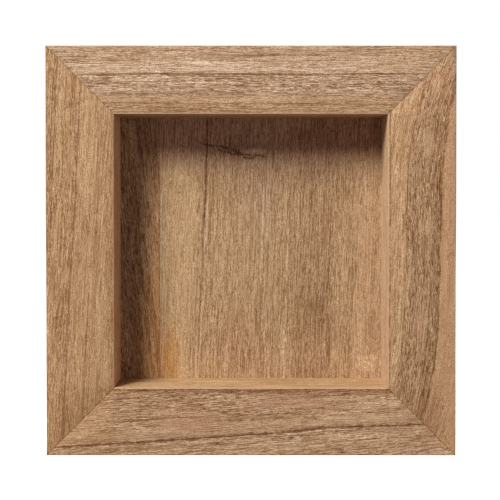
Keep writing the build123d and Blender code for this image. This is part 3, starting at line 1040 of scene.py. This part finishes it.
# %% Right rail's finish
right_timber = timber(
    "timber_right_rail",
    UPRIGHT,
    ground=srgb(173, 133, 98),
    log=log(30, -122, slope=0.0167, twist=5.5e-6, spacing=4.2, wander=1.6),
    busy=1.1,
    fibre_strength=0.85,
    dash_strength=0.85,
    fleck_strength=1.0,
    pore_width=0.6,
    patch_strength=0.2,
    bands=(
        band((190, 149, 111), 0.6, -115.5, -90.0),
        band((165, 123, 86), 1.3, -140.6, -135.5, 1.6),
        band((188, 145, 108), 0.12, -175.0, -141.0, 0.7),
    ),
    spots=(
        spot((186, 146, 112), 0.15, 0.8, 80, -131, 9, 4.5, 0.9),
        spot((184, 145, 111), 0.2, 0.65, 17, -129, 5, 5, 0.9),
        spot((180, 139, 107), 0.15, 0.8, -54, -126, 11, 5.5, 0.9),
        spot((188, 146, 109), 0.9, 0.6, 128, -132, 26, 16, 0.9, 0.6),
        spot((166, 122, 87), 0.9, 0.6, -130, -130, 26, 14, 0.9, 0.6),
    ),
    lines=(
        line(-140.2, 1.1, 0.4, wobble=3.2),
        line(-115.4, 0.9, 0.35, -90, 110),
        line(-128.6, 1.0, 0.45, -40, 10, 2.0),
        line(-121.5, 0.9, 0.4, -60, 60, 2.0),
        line(-133.5, 0.9, 0.4, -100, -20, 2.0),
    ),
    pale_lines=(
        line(-125.5, 0.9, 0.35, -50, 20),
        line(-112.0, 1.1, 0.3, -60, 100),
        line(-132.0, 0.8, 0.3, -60, 10),
    ),
    edges=edge_tones((203, 167, 133), (203, 163, 124), inner_shade=0.1, dirt=0.8, arris_highlight=0.5),
    seed=4.0,
)
print("right rail:", right_timber.name)

# %% [markdown]
# ## Finishes of the two panel boards
#
# The panel shows quiet, upright figure. High on the wide board a check crosses the fibres. It is given as
# straight stretches that branch and overlap a little, each from one end to the other. The mesh uses the same
# list later, so the mark and the groove lie on each other.

# %% The check's stretches
CHECK_LINE_WIDTH = 1.05
# Each end is (height above the frame's middle, place to the right of it), in millimetres.
CHECK_POINTS = (
    ((81.2, -38.0), (80.4, -33.0)),
    ((80.4, -33.0), (78.8, -20.3)),
    ((78.8, -20.3), (76.1, -10.4)),
    ((76.1, -10.4), (72.9, -6.0)),
    ((72.7, -4.0), (71.6, 12.0)),
    ((76.6, -25.0), (74.2, -16.0)),
    ((74.2, -16.0), (72.4, -7.0)),
    ((70.2, -6.0), (70.0, 2.5)),
    ((77.8, -22.0), (74.4, -8.5)),
)
checks = tuple(
    {"From": (first[0], 0, -first[1]), "To": (second[0], 0, -second[1]), "Width": CHECK_LINE_WIDTH}
    for first, second in CHECK_POINTS
)
print("stretches in the check:", len(checks))

# %% [markdown]
# The narrow board's grain leans, which is how the eye tells that it is a board of its own. It is darker and
# busier than its neighbour. Along the seam it is warm and pale, partly its own tone and partly painted light
# where the left rail's shadow ends, and high up beside the seam a dark patch is painted shade inside the
# shadow of the rails.

# %% Narrow board's finish
narrow_timber = timber(
    "timber_narrow_board",
    UPRIGHT,
    ground=srgb(172, 133, 98),
    log=log(90, 60, slope=-0.12, spacing=3.2, wander=2.0),
    busy=1.3,
    patch_strength=0.5,
    # The first and third spots are partly the board's warm tone and partly painted light at the edge of the
    # left rail's shadow. The second spot is painted shade that deepens the shadow high up.
    spots=(
        spot((192, 146, 103), 0.9, 0.9, -75, 72, 150, 12, 0.3, 0.6),
        spot((142, 102, 74), 1.0, 0.5, 90, 77, 34, 12, 0.4, 0.7),
        spot((196, 142, 90), 0.8, 0.5, -60, 74, 60, 9, 0.4, 0.6),
        spot((120, 82, 56), 0.6, 0.25, 0, 71.4, 900, 0.8, 0.3, 0.4),
    ),
    lines=(line(82.0, 1.0, 0.5, -90, 30), line(88.0, 1.0, 0.5, -110, 0), line(94.0, 1.0, 0.4, -60, 90)),
    seed=5.0,
)
print("narrow board:", narrow_timber.name)

# %% [markdown]
# The wide board is paler beside the seam and browner in its middle. Low on the right it has a small pale
# knot, made of a plain round spot with arcs over it, and low on the left an ochre stain. One long dark line
# runs past the check's left end, and two thin pale ones run up the board's right half. Across its top it has
# painted shade: a darker, redder band where the top rail's shadow lies.

# %% Wide board's finish
wide_timber = timber(
    "timber_wide_board",
    UPRIGHT,
    ground=srgb(180, 143, 107),
    log=log(160, -30, slope=0.035, spacing=4.6, wander=1.6),
    busy=0.66,
    fibre_strength=0.95,
    ring_strength=0.25,
    dash_strength=0.5,
    fleck_strength=0.5,
    patch_strength=0.22,
    bands=(
        band((191, 154, 115), 0.4, 44.0, 90.0, 3.0),
        band((174, 136, 101), 0.8, -66.0, -34.0, 4.0),
        band((187, 150, 115), 0.5, -94.0, -81.0, 2.0),
        band((176, 142, 108), 0.5, -130.0, -95.0, 2.0),
    ),
    spots=(
        # Painted shade: this spot darkens and reddens a band across the top of the board, inside the top
        # rail's shadow.
        spot((174, 129, 102), 0.8, 0.9, 92, 0, 26, 150, 0.3, 0.5),
        spot((196, 157, 120), 0.3, 0.75, -89.5, -91.0, 6.0, 8.5, 1.0, 0.5),
        spot((132, 98, 70), 1.2, 0.55, 77, 7, 6, 24, 1.2, 0.7),
        spot((212, 174, 134), 0.5, 0.6, 75.6, -3, 1.7, 9.5, 0.9, 0.5),
        spot((190, 136, 78), 0.4, 0.75, -88, 63.5, 26, 7.0, 0.6, 0.6),
        spot((168, 132, 104), 0.7, 0.5, 50, -8, 40, 16),
        spot((172, 130, 98), 0.9, 0.5, -70, 10, 26, 18),
        spot((162, 126, 88), 0.7, 0.5, -45, -38, 22, 20),
    ),
    lines=(
        line(37.3, 1.2, 0.95, 10, 125, 1.0),
        line(37.6, 0.9, 0.6, -90, 40, 1.0),
        line(34.5, 0.9, 0.5, 70, 125, 1.2),
        line(40.6, 0.8, 0.3, -100, -10),
        line(-10.4, 0.8, 0.4, -100, 20),
        line(-30.6, 0.8, 0.4, -60, 30),
        line(-52.4, 1.0, 0.6, -90, 10),
        line(-55.6, 0.8, 0.5, -80, -10),
        line(-58.0, 0.9, 0.55, -110, -5),
        line(-61.4, 0.8, 0.45, -90, 10),
        line(-20.0, 0.8, 0.4, -110, -40),
        line(-82.0, 0.8, 0.35, -40, 60),
        line(-88.0, 0.9, 0.4, 10, 80),
        line(12.5, 0.7, 0.3, -100, -40),
        line(24.0, 0.7, 0.3, 30, 100),
        line(5.0, 0.8, 0.4, 75, 105),
        line(-14.0, 0.8, 0.4, 70, 105),
    ),
    pale_lines=(
        line(-8.8, 1.1, 0.5, -110, 60, 1.6),
        line(-29.2, 1.0, 0.45, -120, 30, 1.6),
        line(35.8, 1.0, 0.35, -100, 60),
        line(69.8, 1.0, 0.3, -100, 60, 0.4),
    ),
    checks=checks,
    knots=({"Centre": (-89.5, 0, -91.0), "Radius": 10.5},),
    seed=6.0,
)
print("wide board:", wide_timber.name)

# %% [markdown]
# ## Rails as real mouldings
#
# A rail is a square bar with a rabbet at its back for the panel. Three operations carry most of the work, so
# each gets a helper: a section is pulled along a line to make a bar, chosen long edges are found again, and a
# bevel rounds them.

# %% Bars, their long edges, and rounding
CLOSE = 0.001 * MM
MERGE = 0.0001 * MM


def extrude_bar(section, length):
    """A closed bar along X from a section given as (y, z) points."""
    bm = bmesh.new()
    ring = [bm.verts.new((-length / 2, y, z)) for y, z in section]
    face = bm.faces.new(ring)
    pulled = bmesh.ops.extrude_face_region(bm, geom=[face])
    moved = [item for item in pulled["geom"] if isinstance(item, bmesh.types.BMVert)]
    bmesh.ops.translate(bm, verts=moved, vec=(length, 0, 0))
    bmesh.ops.recalc_face_normals(bm, faces=bm.faces)
    return bm


def long_edges(bm, place=None, tolerance=0.02 * MM):
    """The bar's edges along X, all of them or those at one (y, z) place."""
    found = []
    for edge in bm.edges:
        a, b = edge.verts[0].co, edge.verts[1].co
        if abs(a.x - b.x) < 1 * MM or abs(a.y - b.y) > tolerance or abs(a.z - b.z) > tolerance:
            continue
        if place is None or (abs(a.y - place[0]) < tolerance and abs(a.z - place[1]) < tolerance):
            found.append(edge)
    return found


def round_edges(bm, edges, radius, segments):
    """Rounds edges to a radius."""
    bmesh.ops.bevel(
        bm, geom=edges, offset=radius, offset_type="OFFSET", segments=segments,
        profile=0.5, affect="EDGES", clamp_overlap=True, material=-1,
    )


print("bar helpers ready")

# %% [markdown]
# The section of a rail is drawn as six points. The four long arrises are rounded while the bar is still
# straight, so the rounding stays even, and then the bar is divided along its length. Those divisions let the
# front and its arrises dip by up to about a tenth of a millimetre, as sanding by hand leaves them. Only then
# are the ends cut at 45 degrees, and the cut's own edges get a hairline bevel, which is what makes a mitre
# show as a thin line.

# %% Build one rail
INNER_EASE = 0.8 * MM
OUTER_EASE = 0.9 * MM
MITRE_EASE = 0.22 * MM
DIVISIONS = 150
WEAR = 0.13 * MM
WEAR_ALONG = 45  # waves a metre
WEAR_ACROSS = 260
WEAR_SEED = 17.0


def cut_end(bm, side):
    """Cuts the bar's end at 45 degrees, closes it, and hairlines the cut's edges. Side is -1 or 1."""
    normal = Vector((side, 0, 1)).normalized()
    whole = list(bm.verts) + list(bm.edges) + list(bm.faces)
    cut = bmesh.ops.bisect_plane(
        bm, geom=whole, dist=MERGE, plane_co=(side * HALF, 0, 0), plane_no=normal, clear_outer=True
    )
    rim = [item for item in cut["geom_cut"] if isinstance(item, bmesh.types.BMEdge)]
    bmesh.ops.contextual_create(bm, geom=rim)
    round_edges(bm, rim, MITRE_EASE, 2)


def rail_mesh(name, quarter, seed):
    """One rail's mesh: made as the bottom rail and carried round by quarter turns."""
    ledge = HALF - RABBET_HALF
    section = [
        (FRONT_Y, 0),
        (REAR_Y, 0),
        (REAR_Y, ledge),
        (PANEL_Y, ledge),
        (PANEL_Y, RAIL_WIDTH),
        (FRONT_Y, RAIL_WIDTH),
    ]
    bm = extrude_bar(section, 2 * HALF)
    round_edges(bm, long_edges(bm, (FRONT_Y, RAIL_WIDTH)), INNER_EASE, 5)
    for corner in ((FRONT_Y, 0), (REAR_Y, 0), (REAR_Y, ledge)):
        round_edges(bm, long_edges(bm, corner), OUTER_EASE, 4)
    bmesh.ops.subdivide_edges(bm, edges=long_edges(bm), cuts=DIVISIONS, use_grid_fill=True)
    for vert in bm.verts:
        if vert.co.z >= CLOSE and vert.co.y < FRONT_Y + INNER_EASE:
            along = vert.co.x * WEAR_ALONG + seed
            dip = noise.noise(Vector((along, vert.co.y * WEAR_ACROSS, vert.co.z * WEAR_ACROSS)))
            vert.co.y += WEAR * (0.5 + 0.5 * dip)
    cut_end(bm, -1)
    cut_end(bm, 1)
    turn = Matrix.Translation((0, 0, CENTRE_Z)) @ Matrix.Rotation(math.radians(90) * quarter, 4, "Y")
    bmesh.ops.transform(bm, matrix=turn @ Matrix.Translation((0, 0, -CENTRE_Z)), verts=bm.verts)
    mesh = bpy.data.meshes.new(name)
    bm.to_mesh(mesh)
    bm.free()
    return mesh


print("front, ledge and rear at y =", [round(y / MM, 1) for y in (FRONT_Y, PANEL_Y, REAR_Y)], "mm")

# %% [markdown]
# Every finished mesh goes into the scene the same way. It gets its material and soft shading, with the edges
# that are sharper than 35 degrees kept crisp. Then it is put on the body that it rides on, and the CAD node
# that it replaces is hidden.

# %% Show a piece, and the four rails
CRISP = math.radians(35)


def show(name, mesh, material, body, replaced):
    """Puts a finished mesh in the scene, on a body, in place of a CAD node."""
    piece = bpy.data.objects.new(name, mesh)
    bpy.context.scene.collection.objects.link(piece)
    mesh.materials.clear()
    mesh.materials.append(material)
    mesh.shade_smooth()
    mesh.set_sharp_from_angle(angle=CRISP)
    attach(piece, body)
    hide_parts(replaced)
    return piece


for quarter, (side, material) in enumerate(
    (("bottom", bottom_timber), ("left", left_timber), ("top", top_timber), ("right", right_timber))
):
    mesh = rail_mesh(side + "_rail_timber", quarter, WEAR_SEED * quarter)
    rail = show(side + "_rail_timber", mesh, material, "frame", side + "_rail")
    print(rail.name, len(mesh.polygons), "faces")

# %% [markdown]
# ## Back panel
#
# Two boards make the back of the recess, butted edge to edge. Their front rims are eased, so the joint
# reads as one fine dark line between two soft edges. The check high up on the wide board is a real groove, so
# the mesh has to know how far each of its points is from it.

def to_check(point):
    """The distance over the board's face from a point to the nearest stretch of the check."""
    nearest = 1.0
    for first, second in CHECK_POINTS:
        start = Vector((first[1] * MM, first[0] * MM))
        run = Vector((second[1] * MM, second[0] * MM)) - start
        reach = Vector((point.x, point.z - CENTRE_Z)) - start
        part = min(1.0, max(0.0, reach.dot(run) / run.dot(run)))
        nearest = min(nearest, (reach - part * run).length)
    return nearest


print("from the frame's middle to the check: %.1f mm" % (to_check(Vector((0, 0, CENTRE_Z))) / MM))

# %% [markdown]
# The front of each board is a grid rather than one flat face, because this wood isn't quite flat: planing
# leaves slow waves of a few hundredths of a millimetre. The grid's rim is pulled back to make the board's
# sides, and the open back is closed with one face. Round the groove the grid is divided again, so that the
# groove's sides stay steep.

# %% Build the panel boards
CELL = 1.3 * MM
BOARD_EASE = 0.3 * MM
WAVE = 0.05 * MM
WAVE_ACROSS = 60  # waves a metre
WAVE_ALONG = 14
CHECK_WIDTH = 0.8 * MM
CHECK_DEPTH = 0.55 * MM
CHECK_SHAKE = 0.25 * MM
CHECK_RAGGED = 900
CHECK_REACH = 2.2 * CELL
CHECK_CUTS = 3


def board_mesh(name, low, high, checked):
    """A board that fills its node's box. A checked one has the groove in its front."""
    wide, tall = high.x - low.x, high.z - low.z
    bm = bmesh.new()
    bmesh.ops.create_grid(bm, x_segments=round(wide / CELL), y_segments=round(tall / CELL), size=0.5)
    stand = Matrix.Translation(((low.x + high.x) / 2, low.y, (low.z + high.z) / 2))
    stand = stand @ Matrix.Rotation(math.radians(90), 4, "X") @ Matrix.Diagonal((wide, tall, 1, 1))
    bmesh.ops.transform(bm, matrix=stand, verts=bm.verts)
    rim = [edge for edge in bm.edges if edge.is_boundary]
    pulled = bmesh.ops.extrude_edge_only(bm, edges=rim)["geom"]
    back = [item for item in pulled if isinstance(item, bmesh.types.BMVert)]
    bmesh.ops.translate(bm, verts=back, vec=(0, high.y - low.y, 0))
    back_rim = [edge for edge in bm.edges if edge.is_boundary]
    bmesh.ops.contextual_create(bm, geom=back_rim)
    bmesh.ops.recalc_face_normals(bm, faces=bm.faces)
    round_edges(bm, rim, BOARD_EASE, 2)
    if checked:
        near = [
            edge for edge in bm.edges
            if all(abs(vert.co.y - low.y) < CLOSE for vert in edge.verts)
            and to_check((edge.verts[0].co + edge.verts[1].co) / 2) < CHECK_REACH
        ]
        bmesh.ops.subdivide_edges(bm, edges=near, cuts=CHECK_CUTS, use_grid_fill=True)
    for vert in bm.verts:
        if abs(vert.co.y - low.y) > CLOSE:
            continue
        wave = noise.noise(Vector((vert.co.x * WAVE_ACROSS, 0, vert.co.z * WAVE_ALONG)))
        vert.co.y += WAVE * (0.5 + 0.5 * wave)
        if checked:
            ragged = noise.noise(Vector((vert.co.x * CHECK_RAGGED, 3.0, vert.co.z * CHECK_RAGGED)))
            depth = 1 - (to_check(vert.co) + CHECK_SHAKE * ragged) / CHECK_WIDTH
            vert.co.y += CHECK_DEPTH * max(0.0, depth)
    mesh = bpy.data.meshes.new(name)
    bm.to_mesh(mesh)
    bm.free()
    return mesh


for node, low, high, material, checked in (
    ("panel_board_left", narrow_low, narrow_high, narrow_timber, False),
    ("panel_board_right", wide_low, wide_high, wide_timber, True),
):
    mesh = board_mesh(node + "_timber", low, high, checked)
    board = show(node + "_timber", mesh, material, "frame", node)
    print(board.name, len(mesh.polygons), "faces")

# %% [markdown]
# ## Hidden timber
#
# Two battens across the back hold the boards flat, and loose tenons bridge the mitres inside the rails.
# Nobody chooses such pieces for their figure: the battens are plain, pale, straight-grained wood, and the
# tenons plainer still. Both use the same timber function with little figure. Their CAD shapes are right as
# they are, so only their finish is replaced.

# %% Finishes of battens and tenons
batten_timber = timber(
    "timber_batten",
    LEVEL,
    ground=srgb(196, 160, 118),
    log=log(120, 40, slope=0.01, spacing=2.6, wander=1.4),
    busy=0.55,
    dash_strength=0.3,
    fleck_strength=0.3,
    patch_strength=0.25,
    lines=(line(-58.0, 0.8, 0.35, -90, 40), line(66.0, 0.8, 0.35, -60, 90)),
    seed=7.0,
)
tenon_timber = timber(
    "timber_tenon",
    LEVEL,
    ground=srgb(204, 168, 130),
    log=log(200, 80, spacing=2.2, wander=1.0),
    busy=0.4,
    dash_strength=0.25,
    fleck_strength=0.2,
    patch_strength=0.2,
    seed=8.0,
)


def dress(node, material):
    """Gives a CAD node, whose shape stays as it is, its finish."""
    nodes[node].data.materials.clear()
    nodes[node].data.materials.append(material)


for node in ("lower_batten", "upper_batten"):
    dress(node, batten_timber)
for corner in ("bottom_left", "top_left", "top_right", "bottom_right"):
    dress("corner_tenons_" + corner, tenon_timber)
print("dressed: battens and tenons")

# %% [markdown]
# ## Plated steel
#
# Straps, rings and screws are zinc plated. New plating is silvery and shines softly, and handling dulls it
# in patches. The shared group gives those patches together with finer rub marks.

# %% Shared group: handling
tree, source, sink = new_group(
    "handling",
    {"Place": (0.0, 0.0, 0.0), "Patch Size": 4.0, "Rub Size": 0.5, "Long Rub": 6.0},
    {"Dull": "Float", "Rub": "Float"},
)


def sized(vector, size, shift):
    """A pattern space in which one unit is `size` millimetres."""
    moved = tree.node("VectorMath", {0: vector, 1: shift}, operation="ADD").outputs[0]
    per_unit = tree.math("DIVIDE", 1.0, size)
    return tree.node("VectorMath", {0: moved, "Scale": per_unit}, operation="SCALE").outputs[0]


dull_space = sized(source["Place"], source["Patch Size"], (4, 9, 2))
dull = tree.noise(dull_space, detail=4.0, roughness=0.65).outputs[0]
long_way = tree.node(
    "CombineXYZ", {0: 1.0, 1: 1.0, 2: tree.math("DIVIDE", source["Rub Size"], source["Long Rub"])}
).outputs[0]
rubbed = tree.node("VectorMath", {0: source["Place"], 1: long_way}, operation="MULTIPLY").outputs[0]
rub = tree.noise(sized(rubbed, source["Rub Size"], (1, 7, 5)), detail=2.0, roughness=0.6).outputs[0]
tree.tree.links.new(tree.ramp(dull, 0.38, 0.66), sink["Dull"])
tree.tree.links.new(tree.ramp(rub, 0.40, 0.62), sink["Rub"])
print("handling:", len(tree.tree.nodes), "nodes")

# %% [markdown]
# Each metal uses the group to vary its own colour and roughness. The ring is bent from smooth wire, so it is
# the brightest of the three. The strap is stamped sheet, and the screws are the dullest.

# %% Metals
RUB_HEIGHT = 0.02 * MM


def plated_steel(name, bright, dim, smooth, rough):
    """Zinc plating between two tones and two roughnesses, both following the marks of handling."""
    material = bpy.data.materials.new(name)
    material.use_nodes = True
    tree = Tree(material.node_tree)
    links = material.node_tree.links
    shader = material.node_tree.nodes["Principled BSDF"]
    shader.inputs["Metallic"].default_value = 1.0
    place = tree.node("TexCoord").outputs["Object"]
    place = tree.node("Mapping", {"Vector": place, "Scale": (1 / MM, 1 / MM, 1 / MM)}).outputs[0]
    worn = tree.group("handling", Place=place)
    colour = tree.mix(worn["Dull"], bright, dim)
    colour = tree.mix(tree.math("MULTIPLY", worn["Rub"], 0.35), colour, dim)
    roughness = tree.ramp(worn["Dull"], 0.0, 1.0, smooth, rough)
    roughness = tree.math("MULTIPLY_ADD", worn["Rub"], 0.08, roughness)
    bump = tree.node("Bump", {"Height": worn["Rub"], "Strength": 0.25, "Distance": RUB_HEIGHT})
    links.new(colour, shader.inputs["Base Color"])
    links.new(roughness, shader.inputs["Roughness"])
    links.new(bump.outputs[0], shader.inputs["Normal"])
    return material


strap_steel = plated_steel("strap_plating", srgb(205, 206, 203), srgb(158, 159, 156), 0.30, 0.48)
ring_steel = plated_steel("ring_plating", srgb(214, 214, 211), srgb(172, 173, 170), 0.20, 0.36)
screw_steel = plated_steel("screw_plating", srgb(196, 196, 190), srgb(140, 139, 132), 0.28, 0.50)
for side in ("left", "right"):
    dress("hanger_strap_" + side, strap_steel)
    dress("hanger_ring_" + side, ring_steel)
    dress("hanger_screws_" + side, screw_steel)
for node in ("batten_screws", "panel_screws"):
    dress(node, screw_steel)
print("metals:", strap_steel.name, ring_steel.name, screw_steel.name)

# %% [markdown]
# ## Wall bumpers
#
# A bumper is a short cone of soft rubber, moulded in one piece. Rubber is dark, nearly matt, and always holds
# some pale dust, which lies thicker in patches. The dust is the metals' handling group with other values.

# %% Rubber
RUBBER_DARK = srgb(44, 43, 42)
RUBBER_DUSTY = srgb(92, 88, 82)
DUST = srgb(120, 114, 104)
DUST_HEIGHT = 0.05 * MM

rubber = bpy.data.materials.new("bumper_rubber")
rubber.use_nodes = True
tree = Tree(rubber.node_tree)
shader = rubber.node_tree.nodes["Principled BSDF"]
place = tree.node("TexCoord").outputs["Object"]
place = tree.node("Mapping", {"Vector": place, "Scale": (1 / MM, 1 / MM, 1 / MM)}).outputs[0]
dust = tree.group("handling", Place=place, Patch_Size=3.0, Rub_Size=0.35, Long_Rub=0.35)
colour = tree.mix(tree.math("MULTIPLY", dust["Dull"], 0.45), RUBBER_DARK, RUBBER_DUSTY)
colour = tree.mix(tree.math("MULTIPLY", dust["Rub"], 0.18), colour, DUST)
bump = tree.node("Bump", {"Height": dust["Rub"], "Strength": 0.3, "Distance": DUST_HEIGHT})
rubber.node_tree.links.new(colour, shader.inputs["Base Color"])
rubber.node_tree.links.new(tree.ramp(dust["Dull"], 0.0, 1.0, 0.62, 0.85), shader.inputs["Roughness"])
rubber.node_tree.links.new(bump.outputs[0], shader.inputs["Normal"])
print("rubber:", rubber.name)

# %% [markdown]
# The bumper's shape is turned from half of its section: a spin round the bumper's own axis closes the solid,
# and a bevel then rounds the rim that touches the wall. The small dimple in its face is where the mould was
# filled. The taper is the wall side's radius over the rail side's.

# %% Bumpers
BUMPER_TAPER = 5.2 / 6.35
BUMPER_STEPS = 48
RIM_EASE = 0.7 * MM
DIMPLE_RADIUS = 1.6 * MM
DIMPLE_DEPTH = 0.35 * MM


def bumper_mesh(name, low, high):
    """A bumper that fills its node's box: wide at the rail and narrower at the wall."""
    centre = (low + high) / 2
    base = (high.x - low.x) / 2
    tip = base * BUMPER_TAPER
    wall, rail = high.y, low.y
    profile = [
        (0.0, rail),
        (base, rail),
        (tip, wall),
        (DIMPLE_RADIUS, wall),
        (DIMPLE_RADIUS * 0.5, wall - DIMPLE_DEPTH),
        (0.0, wall - DIMPLE_DEPTH),
    ]
    bm = bmesh.new()
    points = [bm.verts.new((centre.x + radius, y, centre.z)) for radius, y in profile]
    edges = [bm.edges.new(pair) for pair in zip(points, points[1:])]
    bmesh.ops.spin(
        bm, geom=points + edges, cent=(centre.x, 0, centre.z), axis=(0, 1, 0),
        angle=math.tau, steps=BUMPER_STEPS, use_merge=True,
    )
    bmesh.ops.remove_doubles(bm, verts=bm.verts, dist=MERGE)
    rim = []
    for edge in bm.edges:
        reach = [Vector((v.co.x - centre.x, v.co.z - centre.z)).length for v in edge.verts]
        if all(abs(v.co.y - wall) < CLOSE for v in edge.verts) and min(reach) > tip - 10 * CLOSE:
            rim.append(edge)
    round_edges(bm, rim, RIM_EASE, 5)
    bmesh.ops.recalc_face_normals(bm, faces=bm.faces)
    mesh = bpy.data.meshes.new(name)
    bm.to_mesh(mesh)
    bm.free()
    return mesh


for height in ("bottom", "top"):
    for side in ("left", "right"):
        node = "wall_bumper_%s_%s" % (height, side)
        low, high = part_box(node)
        mesh = bumper_mesh(node + "_rubber", low, high)
        bumper = show(node + "_rubber", mesh, rubber, "frame", node)
print("bumpers:", len(bumper.data.polygons), "faces each")

# %% [markdown]
# ## Floor
#
# The frame stands on a wide pale floor, which is staging and no part of the object. It is the surround's
# trick again: the camera sees the floor as nearly white, while every other ray finds a dull grey that throws
# little light back up. The white comes from a glow that only the camera sees. It is a little weaker near the
# frame, so that the frame's shadow on the floor stays in sight.

# %% Floor
FLOOR_SIDE = 12.0
FLOOR_SEEN = (0.82, 0.82, 0.81, 1)
FLOOR_LIT = (0.16, 0.16, 0.16, 1)
GLOW_WHITE = (1, 1, 1, 1)
GLOW_NEAR = 0.86
GLOW_FAR = 1.0
NEAR_REACH = 0.4
FAR_REACH = 1.6

bpy.ops.mesh.primitive_plane_add(size=FLOOR_SIDE, location=(0, 0, 0))
floor = bpy.context.object
floor.name = "floor"
floor_material = bpy.data.materials.new("floor_pale")
floor_material.use_nodes = True
tree = Tree(floor_material.node_tree)
links = floor_material.node_tree.links
shader = floor_material.node_tree.nodes["Principled BSDF"]
shader.inputs["Roughness"].default_value = 0.9
by_camera = tree.node("LightPath").outputs["Is Camera Ray"]
place = tree.node("TexCoord").outputs["Object"]
distance = tree.node("VectorMath", {0: place}, operation="LENGTH").outputs["Value"]
glow = tree.math("MULTIPLY", by_camera, tree.ramp(distance, NEAR_REACH, FAR_REACH, GLOW_NEAR, GLOW_FAR))
links.new(tree.mix(by_camera, FLOOR_LIT, FLOOR_SEEN), shader.inputs["Base Color"])
links.new(glow, shader.inputs["Emission Strength"])
shader.inputs["Emission Color"].default_value = GLOW_WHITE
floor.data.materials.append(floor_material)
print("floor:", floor.name)
